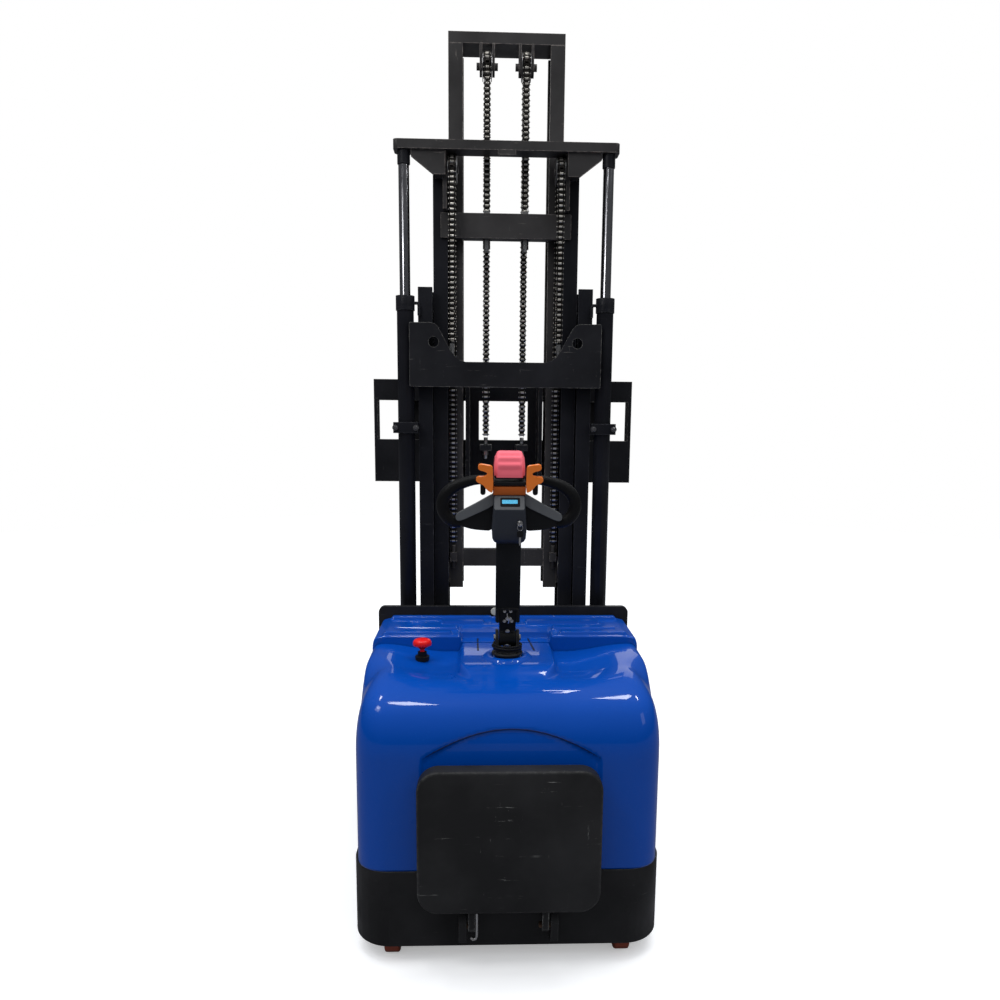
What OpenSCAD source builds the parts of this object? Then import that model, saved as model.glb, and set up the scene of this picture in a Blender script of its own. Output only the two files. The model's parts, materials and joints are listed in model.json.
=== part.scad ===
// Walkie stacker with a three-stage mast, straddle legs, lift carriage,
// tiller steering and a fold-down operator platform.
// Units are millimetres. +X is the machine's right-hand side seen by the operator,
// +Y points at the forks and +Z is up. The floor is z = 0.

/* [Body] */
// Width of the body over the skirt
body_width = 820; // [700:2:900]
// Length from the rear face to the bulkhead
body_length = 640; // [560:5:760]
// Underside of the skirt above the floor
skirt_bottom = 50; // [30:1:80]
// Top edge of the skirt
skirt_top = 262; // [220:1:320]
// Plan radius of the rear corners
corner_radius = 100; // [60:5:140]
// Height of the battery cover's top
cover_top = 788; // [700:1:860]
// Height of the top of the drive cover
shoulder_z = 756; // [650:1:780]
// Radius of the rear shoulder, seen from the side
shoulder_r = 180; // [80:5:220]
// Width of the bulkhead plate
bulkhead_width = 824; // [780:2:900]
// Top of the bulkhead plate
bulkhead_top = 815; // [780:1:900]

/* [Mast] */
// Top of the outer uprights
outer_top = 1842; // [1600:2:2200]
// Outside half width of the outer uprights
outer_half = 281; // [260:1:320]
// Width of each upright profile
upright_width = 46; // [40:1:60]
// Depth of each upright profile
upright_depth = 120; // [100:1:150]
// Gap between neighbouring uprights
upright_gap = 2; // [1:0.5:5]
// How far the middle stage stands raised
raise = 385; // [0:5:1300]
// Underside of the crosshead above the raised middle stage
crosshead_bottom = 2249; // [2000:1:2600]
// Top of the raised inner stage
inner_top = 2629; // [2300:1:3000]
// Bottom of the raised inner stage
inner_bottom = 848; // [700:1:1000]

/* [Carriage] */
// Width of the lift carriage
carriage_width = 906; // [700:2:1000]
// Bottom edge of the raised carriage
carriage_bottom = 1205; // [1000:1:1500]
// Height of the lift carriage
carriage_height = 356; // [300:1:420]
// Length of a fork blade
fork_length = 1150; // [800:10:1300]
// Distance from the truck's centre line to a fork's centre
fork_offset = 270; // [120:5:380]

/* [Tiller] */
// Height of the tiller's tilting pivot
pivot_z = 815; // [780:1:860]
// Lean of the tiller towards the operator
tiller_lean = 8.5; // [0:0.5:20]
// Half width over the handle loops
handle_half = 197; // [150:1:240]

/* [Platform] */
// Width of the operator platform
platform_width = 464; // [380:2:560]
// Length of the operator platform
platform_length = 391; // [320:1:460]
// Height of the platform's hinge
hinge_z = 136; // [110:1:160]

/* [Hidden] */
$fn = 64;
half = body_width / 2;
platform_gap = 28;
platform_thick = 48;
platform_back = platform_gap + platform_thick;
bulkhead_thick = 20;
mast_from_bulkhead = 58;
outer_from_rear = body_length + bulkhead_thick + mast_from_bulkhead;
mid_from_rear = outer_from_rear + 30;
inner_from_rear = outer_from_rear + 72;
carriage_from_rear = inner_from_rear + 124;
fork_face_from_rear = carriage_from_rear + 62;
fork_tip_from_rear = fork_face_from_rear + fork_length;
// The truck is centred on Y between the folded platform and the fork tips.
rear_y = -(fork_tip_from_rear - platform_back) / 2;
bulkhead_y = rear_y + body_length;
outer_y = rear_y + outer_from_rear;
mid_y = rear_y + mid_from_rear;
inner_y = rear_y + inner_from_rear;
carriage_y = rear_y + carriage_from_rear;
fork_face_y = rear_y + fork_face_from_rear;
fork_tip_y = rear_y + fork_tip_from_rear;
cover_seam_y = rear_y + 405;
cover_notch = 50;
steer_y = rear_y + 266;

wall = 8;
skin = 6;
deck_z = 180;
running = 0.05;

web = 12;
flange = 14;
outer_x = outer_half - upright_width;
mid_half = outer_x - upright_gap;
mid_x = mid_half - upright_width;
inner_half = mid_x - upright_gap;
inner_x = inner_half - upright_width;
outer_bottom = 60;
mid_bottom = 78 + raise;
roller_r = (upright_depth - 2 * flange) / 2 - 0.5;
roller_width = 15;
roller_pin_r = 9;

chain_a_x = 171;
chain_a_y = rear_y + 705;
sheave_r = 38;
sheave_flange_r = 42;
sheave_width = 30;
sheave_pin_r = 11;
sheave_a_y = chain_a_y + sheave_r;
sheave_a_z = crosshead_bottom - 46;
chain_b_x = 62;
chain_b_y = mid_y + 20;
sheave_b_y = chain_b_y + sheave_r;
inner_bar_thick = 34;
sheave_b_z = inner_top - 96;
chain_width = 24;
chain_depth = 14.5;

tie_y = rear_y + 672;
tie_thick = 22;
tie_half = 306;
tie_bottom = 1527;
tie_centre_top = 1606;
tie_ear_top = 1727;
tie_hole_x = 229;
tie_hole_z = 1667;
tie_hole_r = 16;

cylinder_x = 321;
cylinder_y = rear_y + 715;
cylinder_r = 27;
cylinder_bottom = 205;
cylinder_top = 1776;
collar_top = 1812;
rod_r = 17;

crosshead_half = 352;
crosshead_thick = 28;
crosshead_y = rear_y + 690;
crosshead_depth = 66;
gusset_y = rear_y + 698;
gusset_thick = 11;
mid_bar_bottom = 1998;
mid_bar_top = 2075;

lower_bar_height = 148;
top_bar_height = 72;
carriage_half = carriage_width / 2;
carriage_plate = 22;
carriage_window_x = 86;
carriage_top = carriage_bottom + carriage_height;

leg_inner = carriage_half + 8;
leg_width = 70;
leg_outer = leg_inner + leg_width;
leg_bottom = 45;
leg_height = 90;
leg_start_y = rear_y + 790;
leg_end_y = rear_y + 1960;
load_wheel_r = 50;
load_wheel_y = leg_end_y - 62;

drive_wheel_r = 115;
caster_x = 308;
caster_y = rear_y + 88;
caster_r = 50;
caster_trail = 24;
caster_half = 20;

head_half = 43;
head_top = 462;
wing_y = -26;
wing_z = 446;
key_x = 28;
key_z = 352;

// Top of the cover's sides beside the battery.
side_top = 688;
pad_half = 132;

estop_r = 24;
estop_x = -243;
estop_y = rear_y + 300;

// ---------- shared shapes ----------

// A box given by its low corner and its high corner.
module span(low, high) {
    translate(low) cube(high - low);
}

// The children, and their mirror image on the left side.
module both_sides() {
    children();
    mirror([1, 0, 0]) children();
}

// The children drawn on the right, or mirrored to the left.
module on_side(side) {
    mirror([side < 0 ? 1 : 0, 0, 0]) children();
}

// A cylinder along X between two x values.
module x_rod(x0, x1, y, z, r) {
    translate([x0, y, z]) rotate([0, 90, 0]) cylinder(h = x1 - x0, r = r);
}

// A cylinder along Y between two y values.
module y_rod(x, y0, y1, z, r) {
    translate([x, y0, z]) rotate([-90, 0, 0]) cylinder(h = y1 - y0, r = r);
}

// A flat rectangle with four round corners.
module round_rect(w, d, r) {
    square([w - 2 * r, d], center = true);
    square([w, d - 2 * r], center = true);
    for (sx = [-1, 1], sy = [-1, 1])
        translate([sx * (w / 2 - r), sy * (d / 2 - r)]) circle(r = r);
}

// A plan outline with round rear corners and a square front.
module body_plan(w, y0, y1, r) {
    translate([-w / 2, y0 + r]) square([w, y1 - y0 - r]);
    translate([-w / 2 + r, y0]) square([w - 2 * r, r + 1]);
    for (sx = [-1, 1])
        translate([sx * (w / 2 - r), y0 + r]) circle(r = r);
}

// ---------- chassis ----------

module chassis_skirt() color([0.05, 0.05, 0.06]) {
    translate([0, 0, skirt_bottom]) linear_extrude(skirt_top - skirt_bottom) difference() {
        body_plan(body_width, rear_y, bulkhead_y - 0.5, corner_radius);
        translate([0, wall]) body_plan(body_width - 2 * wall, rear_y, bulkhead_y + wall, corner_radius - wall);
    }
    both_sides() platform_lug();
}

// A lug on the rear face that carries one end of the platform's hinge.
module platform_lug() {
    difference() {
        translate([108, 0, 0]) rotate([90, 0, 90]) linear_extrude(20)
            polygon([[rear_y + 1, 72], [rear_y - 52, 96], [rear_y - 58, 150],
                     [rear_y - 40, 168], [rear_y + 1, 186]]);
        x_rod(100, 140, rear_y - 40, hinge_z, 8 + running);
    }
}

// The deck plate inside the skirt and the bracket over the drive unit.
module chassis_frame() color([0.06, 0.06, 0.07]) {
    difference() {
        translate([0, 0, deck_z]) linear_extrude(10)
            translate([0, wall + 0.3]) body_plan(body_width - 2 * wall - 0.6, rear_y,
                                                 bulkhead_y - 9, corner_radius - wall);
        translate([0, steer_y, deck_z - 1]) cylinder(h = 12, r = 170);
        both_sides() translate([caster_x, caster_y, deck_z - 1]) cylinder(h = 12, r = 12 + running);
    }
    difference() {
        union() {
            span([-190, steer_y - 150, 310], [190, steer_y + 150, 322]);
            both_sides() span([180, steer_y - 150, deck_z + 10], [190, steer_y + 150, 310]);
        }
        translate([0, steer_y, 300]) cylinder(h = 40, r = 95 + running);
    }
}

module bulkhead_plate() color([0.05, 0.05, 0.06])
    translate([0, bulkhead_y + bulkhead_thick, 0]) rotate([90, 0, 0]) linear_extrude(bulkhead_thick) {
        translate([-bulkhead_width / 2, skirt_bottom])
            square([bulkhead_width, bulkhead_top - skirt_bottom - 20]);
        translate([-bulkhead_width / 2 + 20, bulkhead_top - 21]) square([bulkhead_width - 40, 21]);
        for (sx = [-1, 1])
            translate([sx * (bulkhead_width / 2 - 20), bulkhead_top - 20]) circle(r = 20);
    }

// The cross beam that carries the mast's feet, the cylinders and the legs.
module base_frame() color([0.05, 0.05, 0.06]) {
    beam_front = leg_start_y + 60;
    span([-leg_inner, bulkhead_y + bulkhead_thick, 45], [leg_inner, outer_y - 16, 204]);
    span([-outer_half - 10, outer_y - 16.5, 45], [outer_half + 10, outer_y + upright_depth, 59.7]);
    both_sides() {
        span([outer_half + 1, outer_y - 17, 45], [leg_inner, beam_front, 204]);
        span([outer_half + 1, outer_y + 40, 203], [outer_half + 9, outer_y + 90, 420]);
    }
}

module outrigger(side) color([0.05, 0.05, 0.06]) on_side(side) {
    slot_half = 24;
    centre_x = leg_inner + leg_width / 2;
    difference() {
        translate([0, 0, leg_bottom]) linear_extrude(leg_height)
            polygon([[leg_inner + 0.2, leg_start_y - 10], [leg_inner + 26, leg_start_y - 10],
                     [leg_outer, leg_start_y + 95], [leg_outer, leg_end_y - 22],
                     [leg_outer - 12, leg_end_y], [leg_inner + 12.2, leg_end_y],
                     [leg_inner + 0.2, leg_end_y - 22]]);
        span([centre_x - slot_half, load_wheel_y - 58, leg_bottom - 1],
             [centre_x + slot_half, load_wheel_y + 55, leg_bottom + leg_height - 14]);
    }
    x_rod(leg_inner + 2, leg_outer - 2, load_wheel_y, load_wheel_r, 8);
}

module load_wheel(side) color([0.55, 0.22, 0.14]) on_side(side) {
    centre_x = leg_inner + leg_width / 2;
    difference() {
        x_rod(centre_x - 22, centre_x + 22, load_wheel_y, load_wheel_r, load_wheel_r);
        x_rod(centre_x - 23, centre_x + 23, load_wheel_y, load_wheel_r, 8 + running);
    }
}

// ---------- outer mast ----------

// A C-shaped upright with the pin of its top roller.
module outer_upright(side) color([0.05, 0.05, 0.06]) on_side(side) {
    height = outer_top - outer_bottom;
    translate([0, 0, outer_bottom]) linear_extrude(height) difference() {
        translate([outer_x, outer_y]) square([upright_width, upright_depth]);
        translate([outer_x - 1, outer_y + flange])
            square([upright_width - web + 1, upright_depth - 2 * flange]);
    }
    x_rod(mid_half - roller_width - 1, outer_half - 1, outer_roller_y(), outer_top - 70, roller_pin_r);
}

function outer_roller_y() = mid_y + upright_depth / 2;
function mid_roller_y() = outer_y + upright_depth / 2;
function mid_top_roller_y() = inner_y + upright_depth / 2;
function inner_roller_y() = mid_y + upright_depth / 2;
function carriage_roller_y() = inner_y + upright_depth / 2;

// Two guide rollers on one axis, one on each side of the mast.
module roller_pair(x, y, z) both_sides() difference() {
    x_rod(x, x + roller_width, y, z, roller_r);
    x_rod(x - 1, x + roller_width + 1, y, z, roller_pin_r + running);
}

module outer_top_rollers() color([0.35, 0.35, 0.36])
    roller_pair(mid_half - roller_width - 0.5, outer_roller_y(), outer_top - 70);

module outer_tie_plate() color([0.05, 0.05, 0.06]) {
    difference() {
        translate([0, tie_y + tie_thick, 0]) rotate([90, 0, 0]) linear_extrude(tie_thick) both_sides()
            polygon([[0, tie_bottom], [tie_half - 3, tie_bottom], [tie_half, tie_bottom + 3],
                     [tie_half, tie_ear_top - 3], [tie_half - 3, tie_ear_top],
                     [tie_half - 70, tie_ear_top], [tie_half - 82, tie_ear_top - 4],
                     [tie_half - 92, tie_ear_top - 14], [tie_half - 130, tie_ear_top - 84],
                     [tie_half - 144, tie_centre_top + 19], [tie_half - 158, tie_centre_top + 6],
                     [tie_half - 178, tie_centre_top], [0, tie_centre_top]]);
        both_sides() {
            y_rod(tie_hole_x, tie_y - 1, tie_y + tie_thick + 1, tie_hole_z, tie_hole_r);
            translate([cylinder_x, cylinder_y, tie_bottom - 1])
                cylinder(h = tie_ear_top - tie_bottom + 2, r = cylinder_r + 0.1);
        }
    }
    both_sides() {
        span([outer_x + 12, tie_y + tie_thick - 1, tie_bottom + 6], [outer_half - 6, outer_y, 1700]);
        span([chain_a_x - 16, tie_y + tie_thick - 1, tie_bottom + 20],
             [chain_a_x + 16, chain_a_y - 9, tie_bottom + 60]);
    }
}

// Threaded rods that hold the fixed ends of the outer chains.
module chain_a_anchors() color([0.6, 0.6, 0.62]) both_sides() {
    translate([chain_a_x, chain_a_y, tie_bottom + 10]) cylinder(h = 110, r = 7);
    translate([chain_a_x, chain_a_y, tie_bottom + 30]) cylinder(h = 16, r = 9, $fn = 6);
    span([chain_a_x - 9, chain_a_y - 9, tie_bottom + 42],
         [chain_a_x + 9, chain_a_y - 2, tie_bottom + 58]);
    span([chain_a_x - 7, chain_a_y - 7, tie_bottom + 118],
         [chain_a_x + 7, chain_a_y + 7, tie_bottom + 138]);
}

module lift_cylinders() color([0.06, 0.06, 0.07]) both_sides() difference() {
    translate([cylinder_x, cylinder_y, cylinder_bottom]) union() {
        cylinder(h = cylinder_top - cylinder_bottom, r = cylinder_r);
        translate([0, 0, cylinder_top - cylinder_bottom]) cylinder(h = collar_top - cylinder_top, r = 30);
    }
    translate([cylinder_x, cylinder_y, cylinder_bottom + 14])
        cylinder(h = cylinder_top - cylinder_bottom - 14, r = cylinder_r - 5);
    translate([cylinder_x, cylinder_y, cylinder_top - 1])
        cylinder(h = collar_top - cylinder_top + 2, r = rod_r + running);
}

// Split clamps that tie the cylinders to the outer uprights.
module cylinder_clamps() color([0.05, 0.05, 0.06]) both_sides() {
    clamp_z = 1379;
    clamp_height = 35;
    difference() {
        span([outer_half + 0.5, cylinder_y - 34, clamp_z], [cylinder_x + 40, outer_y + 40, clamp_z + clamp_height]);
        translate([cylinder_x, cylinder_y, clamp_z - 1]) cylinder(h = clamp_height + 2, r = cylinder_r + 0.1);
        span([cylinder_x + 20, cylinder_y + 20, clamp_z - 1], [cylinder_x + 41, outer_y + 41, clamp_z + 50]);
    }
    for (x = [outer_half + 6.5, cylinder_x + 33])
        y_rod(x, cylinder_y - 41, cylinder_y - 33, clamp_z + clamp_height / 2, 6, $fn = 6);
}

// ---------- chains ----------

module strand(x, y, z0, z1) both_sides()
    span([x - chain_width / 2, y - chain_depth / 2, z0], [x + chain_width / 2, y + chain_depth / 2, z1]);

module chain_a_front() color([0.45, 0.43, 0.38])
    strand(chain_a_x, chain_a_y, tie_bottom + 139, sheave_a_z);

module chain_a_rear() color([0.45, 0.43, 0.38])
    strand(chain_a_x, sheave_a_y + sheave_r, inner_bottom + 150, sheave_a_z);

module chain_b_front() color([0.45, 0.43, 0.38])
    strand(chain_b_x, chain_b_y, mid_bar_top + 12, sheave_b_z);

module chain_b_rear() color([0.45, 0.43, 0.38])
    strand(chain_b_x, sheave_b_y + sheave_r, carriage_bottom + lower_bar_height + 12, sheave_b_z);

// Two chain wheels on one axis.
module sheave_pair(x, y, z) both_sides() difference() {
    union() {
        x_rod(x - chain_width / 2 - 0.5, x + chain_width / 2 + 0.5, y, z, sheave_r - chain_depth / 2 - 0.2);
        for (s = [-1, 1])
            x_rod(x + s * (sheave_width / 2 - 1.25) - 1.25, x + s * (sheave_width / 2 - 1.25) + 1.25,
                  y, z, sheave_flange_r);
    }
    x_rod(x - sheave_width, x + sheave_width, y, z, sheave_pin_r + running);
}

module sheaves_a() color([0.3, 0.3, 0.32]) sheave_pair(chain_a_x, sheave_a_y, sheave_a_z);

module sheaves_b() color([0.3, 0.3, 0.32]) sheave_pair(chain_b_x, sheave_b_y, sheave_b_z);

// ---------- middle stage ----------

// An I-shaped upright whose web carries a channel on each side.
module i_section(x, y) difference() {
    translate([x, y]) square([upright_width, upright_depth]);
    pocket = (upright_width - web) / 2;
    for (px = [x - 1, x + upright_width - pocket])
        translate([px, y + flange]) square([pocket + 1, upright_depth - 2 * flange]);
}

// An I-shaped upright with a roller pin outwards at its foot and one inwards at its top.
module mid_upright(side) color([0.06, 0.06, 0.07]) on_side(side) {
    web_x = mid_x + upright_width / 2;
    translate([0, 0, mid_bottom]) linear_extrude(crosshead_bottom - 0.2 - mid_bottom) i_section(mid_x, mid_y);
    x_rod(web_x, mid_half + 0.8 + roller_width, mid_roller_y(), mid_bottom + 60, roller_pin_r);
    x_rod(inner_half - roller_width - 0.5, web_x, mid_top_roller_y(), crosshead_bottom - 90, roller_pin_r);
}

module mid_bottom_rollers() color([0.35, 0.35, 0.36])
    roller_pair(mid_half + 0.8, mid_roller_y(), mid_bottom + 60);

module mid_top_rollers() color([0.35, 0.35, 0.36])
    roller_pair(inner_half - roller_width - 0.5, mid_top_roller_y(), crosshead_bottom - 90);

// The plate that the rods push up, its gussets and the sheave hangers.
module crosshead() color([0.05, 0.05, 0.06]) {
    difference() {
        translate([0, crosshead_y + crosshead_depth / 2, crosshead_bottom]) linear_extrude(crosshead_thick)
            round_rect(2 * crosshead_half, crosshead_depth, 14);
        both_sides() translate([cylinder_x, cylinder_y, crosshead_bottom - 1]) cylinder(h = 20, r = 13);
    }
    // Gussets run down behind the outer uprights, so they pass them when the mast is lowered.
    both_sides() {
        translate([0, gusset_y + gusset_thick, 0]) rotate([90, 0, 0]) linear_extrude(gusset_thick)
            polygon([[mid_x + 4, crosshead_bottom + 1], [cylinder_x - 24, crosshead_bottom + 1],
                     [cylinder_x - 24, crosshead_bottom - 20], [mid_half - 4, crosshead_bottom - 72],
                     [mid_x + 4, crosshead_bottom - 72]]);
        span([mid_x + 8, gusset_y, crosshead_bottom - 72], [mid_half - 8, mid_y - 0.2, crosshead_bottom + 1]);
        sheave_hanger();
    }
    span([-28, crosshead_y - 3, crosshead_bottom - 14], [28, crosshead_y + 6, crosshead_bottom + 1]);
}

// The bar and pin that hang one outer sheave below the crosshead.
module sheave_hanger() {
    bar_in = chain_a_x + sheave_width / 2 + 2;
    span([bar_in, sheave_a_y - 26, crosshead_bottom - 168], [bar_in + 12, mid_y - 1, crosshead_bottom + 1]);
    difference() {
        x_rod(chain_a_x - sheave_width / 2 - 4, bar_in + 0.5, sheave_a_y, sheave_a_z, sheave_pin_r);
        span([mid_x - 0.3, mid_y - 0.3, sheave_a_z - 20], [bar_in + 1, mid_y + 20, sheave_a_z + 20]);
    }
}

// The bar that holds the inner chains' fixed ends, and the foot bar.
module mid_crossbars() color([0.05, 0.05, 0.06]) {
    span([-mid_x - 22, mid_y - 8, mid_bar_bottom], [mid_x + 22, mid_y - 0.2, mid_bar_top]);
    difference() {
        span([-mid_x + 0.2, mid_y - 0.3, mid_bar_bottom], [mid_x - 0.2, mid_y + 36, mid_bar_top]);
        both_sides() {
            span([mid_x - 50, chain_a_y + 60, mid_bar_bottom - 1], [mid_x + 1, mid_y + 37, mid_bar_top + 1]);
            translate([chain_b_x, chain_b_y, mid_bar_bottom - 1]) cylinder(h = 90, r = 7.3);
        }
    }
    span([-mid_x - 30, mid_y - 13, mid_bottom], [mid_x + 30, mid_y - 0.2, mid_bottom + 60]);
}

module cylinder_rods() color([0.8, 0.8, 0.82]) both_sides() translate([cylinder_x, cylinder_y, 0]) {
    foot = cylinder_bottom + 20 + raise;
    translate([0, 0, foot]) cylinder(h = crosshead_bottom - foot, r = rod_r);
    translate([0, 0, crosshead_bottom - 1]) cylinder(h = 20, r = 12.9);
    translate([0, 0, foot]) cylinder(h = 30, r = cylinder_r - 5 - running);
}

module chain_b_anchors() color([0.6, 0.6, 0.62]) both_sides() translate([chain_b_x, chain_b_y, 0]) {
    translate([0, 0, mid_bar_bottom - 36]) cylinder(h = mid_bar_top - mid_bar_bottom + 40, r = 7);
    translate([0, 0, mid_bar_bottom - 14]) cylinder(h = 13.8, r = 12, $fn = 6);
    translate([0, 0, mid_bar_bottom - 28]) cylinder(h = 13, r = 12, $fn = 6);
    translate([-10, -7, mid_bar_top + 0.2]) cube([20, 14, 11.5]);
}

// ---------- inner stage ----------

module inner_upright(side) color([0.06, 0.06, 0.07]) on_side(side) {
    translate([0, 0, inner_bottom]) linear_extrude(inner_top - inner_bar_thick - inner_bottom)
        i_section(inner_x, inner_y);
    x_rod(inner_x + upright_width / 2, inner_half + 0.8 + roller_width,
          inner_roller_y(), inner_bottom + 60, roller_pin_r);
}

module inner_bottom_rollers() color([0.35, 0.35, 0.36])
    roller_pair(inner_half + 0.8, inner_roller_y(), inner_bottom + 60);

// The top bar and the two clevises that carry the inner sheaves.
module inner_top_bar() color([0.05, 0.05, 0.06]) {
    bar_bottom = inner_top - inner_bar_thick;
    span([-inner_half, inner_y, bar_bottom], [inner_half, inner_y + 100, inner_top]);
    both_sides() for (s = [-1, 1]) difference() {
        x = chain_b_x + s * (sheave_width / 2 + 5);
        union() {
            span([x - 4, sheave_b_y - 20, sheave_b_z - 10], [x + 4, sheave_b_y + 20, bar_bottom + 1]);
            x_rod(x - 4, x + 4, sheave_b_y, sheave_b_z - 10, 20);
        }
        x_rod(x - 5, x + 5, sheave_b_y, sheave_b_z, sheave_pin_r);
    }
    both_sides() x_rod(chain_b_x - 34, chain_b_x + 34, sheave_b_y, sheave_b_z, sheave_pin_r);
}

// The lower bar with the lugs that hold the outer chains' moving ends.
module inner_lower_bar() color([0.05, 0.05, 0.06]) {
    span([-inner_x + 0.2, inner_y + 2, inner_bottom + 75], [inner_x - 0.2, inner_y + 26, inner_bottom + 135]);
    both_sides() {
        span([chain_a_x - 12, inner_y - 20, inner_bottom + 95],
             [chain_a_x + 11, inner_y - 0.2, inner_bottom + 125]);
        translate([chain_a_x, inner_y - 9, inner_bottom + 70]) cylinder(h = 79, r = 6.5);
    }
}

// ---------- carriage and forks ----------

module carriage_frame() color([0.05, 0.05, 0.06]) {
    plate_front = carriage_y + carriage_plate;
    window_bottom = carriage_bottom + lower_bar_height;
    window_top = carriage_top - top_bar_height;
    difference() {
        span([-carriage_half, carriage_y, carriage_bottom], [carriage_half, plate_front, carriage_top]);
        span([-carriage_window_x, carriage_y - 1, window_bottom],
             [carriage_window_x, plate_front + 1, window_top]);
        both_sides() span([carriage_window_x + 36, carriage_y - 1, window_bottom],
                          [carriage_half - 12, plate_front + 1, window_top]);
    }
    // Hook rails that the forks hang on.
    span([-carriage_half + 12, plate_front - 1, carriage_top - 22], [carriage_half - 12, plate_front + 16, carriage_top]);
    span([-carriage_half + 12, plate_front - 1, carriage_bottom + 70],
         [carriage_half - 12, plate_front + 16, carriage_bottom + 92]);
    both_sides() {
        span([carriage_half - 12, carriage_y, carriage_bottom + 2], [carriage_half, carriage_y + 58, carriage_top - 2]);
        roller_bracket();
    }
    both_sides() span([chain_b_x - 20, sheave_b_y + sheave_r - 14, window_bottom - 34],
                      [chain_b_x + 20, carriage_y + 1, window_bottom - 14]);
}

// The plate that carries the rollers of one side of the carriage.
module roller_bracket() {
    x = inner_x - 22;
    y = carriage_roller_y();
    difference() {
        span([x, y - 26, carriage_bottom + 16], [x + 14, carriage_y + 1, carriage_top - 12]);
        for (z = [carriage_bottom + 66, carriage_top - 62]) x_rod(x - 1, x + 15, y, z, 4);
    }
    for (z = [carriage_bottom + 66, carriage_top - 62])
        x_rod(x + 13, inner_x + roller_width + 0.5, y, z, roller_pin_r);
}

module carriage_rollers_lower() color([0.35, 0.35, 0.36])
    roller_pair(inner_x + 0.6, carriage_roller_y(), carriage_bottom + 66);

module carriage_rollers_upper() color([0.35, 0.35, 0.36])
    roller_pair(inner_x + 0.6, carriage_roller_y(), carriage_top - 62);

// Threaded rods on the carriage that hold the inner chains' moving ends.
module carriage_chain_rods() color([0.6, 0.6, 0.62]) both_sides()
    translate([chain_b_x, sheave_b_y + sheave_r, carriage_bottom + lower_bar_height]) {
        translate([0, 0, -62]) cylinder(h = 27.8, r = 7);
        translate([0, 0, -50]) cylinder(h = 15.8, r = 12, $fn = 6);
        translate([0, 0, -13.8]) cylinder(h = 25, r = 7);
    }

// An L-shaped fork with hooks that hang on the carriage's rails.
module fork(side) color([0.05, 0.05, 0.06]) on_side(side) {
    fork_width = 120;
    shank_back = carriage_y + carriage_plate + 16.6;
    translate([fork_offset - fork_width / 2, 0, 0]) rotate([90, 0, 90]) linear_extrude(fork_width)
        polygon([[shank_back, carriage_bottom], [shank_back, carriage_top + 8],
                 [fork_face_y, carriage_top + 8], [fork_face_y, carriage_bottom + 62],
                 [fork_face_y + 18, carriage_bottom + 44], [fork_tip_y - 40, carriage_bottom + 16],
                 [fork_tip_y, carriage_bottom + 12], [fork_tip_y, carriage_bottom + 6],
                 [fork_tip_y - 60, carriage_bottom]]);
    span([fork_offset - 40, carriage_y + carriage_plate - 10, carriage_top + 0.6],
         [fork_offset + 40, shank_back + 1, carriage_top + 8]);
}

// ---------- covers ----------

// The side outline of the drive cover: upright rear face, a wide round shoulder, level top,
// then a lower part beside the battery.
module cover_side(inset) {
    r = shoulder_r;
    back = rear_y + 3 + inset;
    front = bulkhead_y - 2 - inset;
    seam = cover_seam_y - inset;
    low = skirt_bottom + 60;
    shoulder = shoulder_z - inset;
    polygon([[back, low], [back, shoulder - r], [back + r, shoulder],
             [seam, shoulder], [seam, side_top], [front, side_top], [front, low]]);
    translate([back + r, shoulder - r]) circle(r = r);
}

// The rear outline of the covers: straight sides with round shoulders.
module cover_rear(inset) {
    r = 70 - inset;
    w = body_width - 16 - 2 * inset;
    top = cover_top - inset;
    translate([-w / 2, skirt_bottom + 60]) square([w, top - r - skirt_bottom - 60]);
    translate([-w / 2 + r, top - r - 1]) square([w - 2 * r, r + 1]);
    for (sx = [-1, 1]) translate([sx * (w / 2 - r), top - r]) circle(r = r);
}

module cover_solid(inset) intersection() {
    rotate([90, 0, 90]) translate([0, 0, -half]) linear_extrude(body_width) cover_side(inset);
    translate([0, bulkhead_y, 0]) rotate([90, 0, 0]) linear_extrude(body_length) cover_rear(inset);
    translate([0, 0, skirt_bottom]) linear_extrude(cover_top)
        body_plan(body_width - 16 - 2 * inset, rear_y + 3 + inset, bulkhead_y, corner_radius - 8 - inset);
}

module drive_cover() color([0.0, 0.2, 0.6]) {
    difference() {
        union() {
            cover_solid(0);
            centre_pad();
        }
        cover_solid(skin);
        // The battery bay is open on top.
        span([-half + 16 + skin, cover_seam_y + 1, 400],
             [-pad_half - 1, bulkhead_y, cover_top]);
        span([pad_half + 1, cover_seam_y + 1, 400], [half - 16 - skin, bulkhead_y, cover_top]);
        span([-half + 16 + skin, cover_seam_y + cover_notch + 1, 400],
             [half - 16 - skin, bulkhead_y, cover_top]);
        span([-half, rear_y - 1, 0], [half, bulkhead_y, skirt_top]);
        translate([0, steer_y, 600]) cylinder(h = 300, r = 36);
        translate([estop_x, estop_y, 600]) cylinder(h = 300, r = estop_r + running);
    }
}

// The raised pad around the tiller's base, which reaches into the battery cover's notch.
module centre_pad() {
    pad_z = shoulder_z + 3;
    span([-pad_half, rear_y + 200, side_top + 8], [pad_half, cover_seam_y + cover_notch, pad_z]);
    translate([0, steer_y, pad_z - 1]) cylinder(h = 9, r = 64);
}

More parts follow.
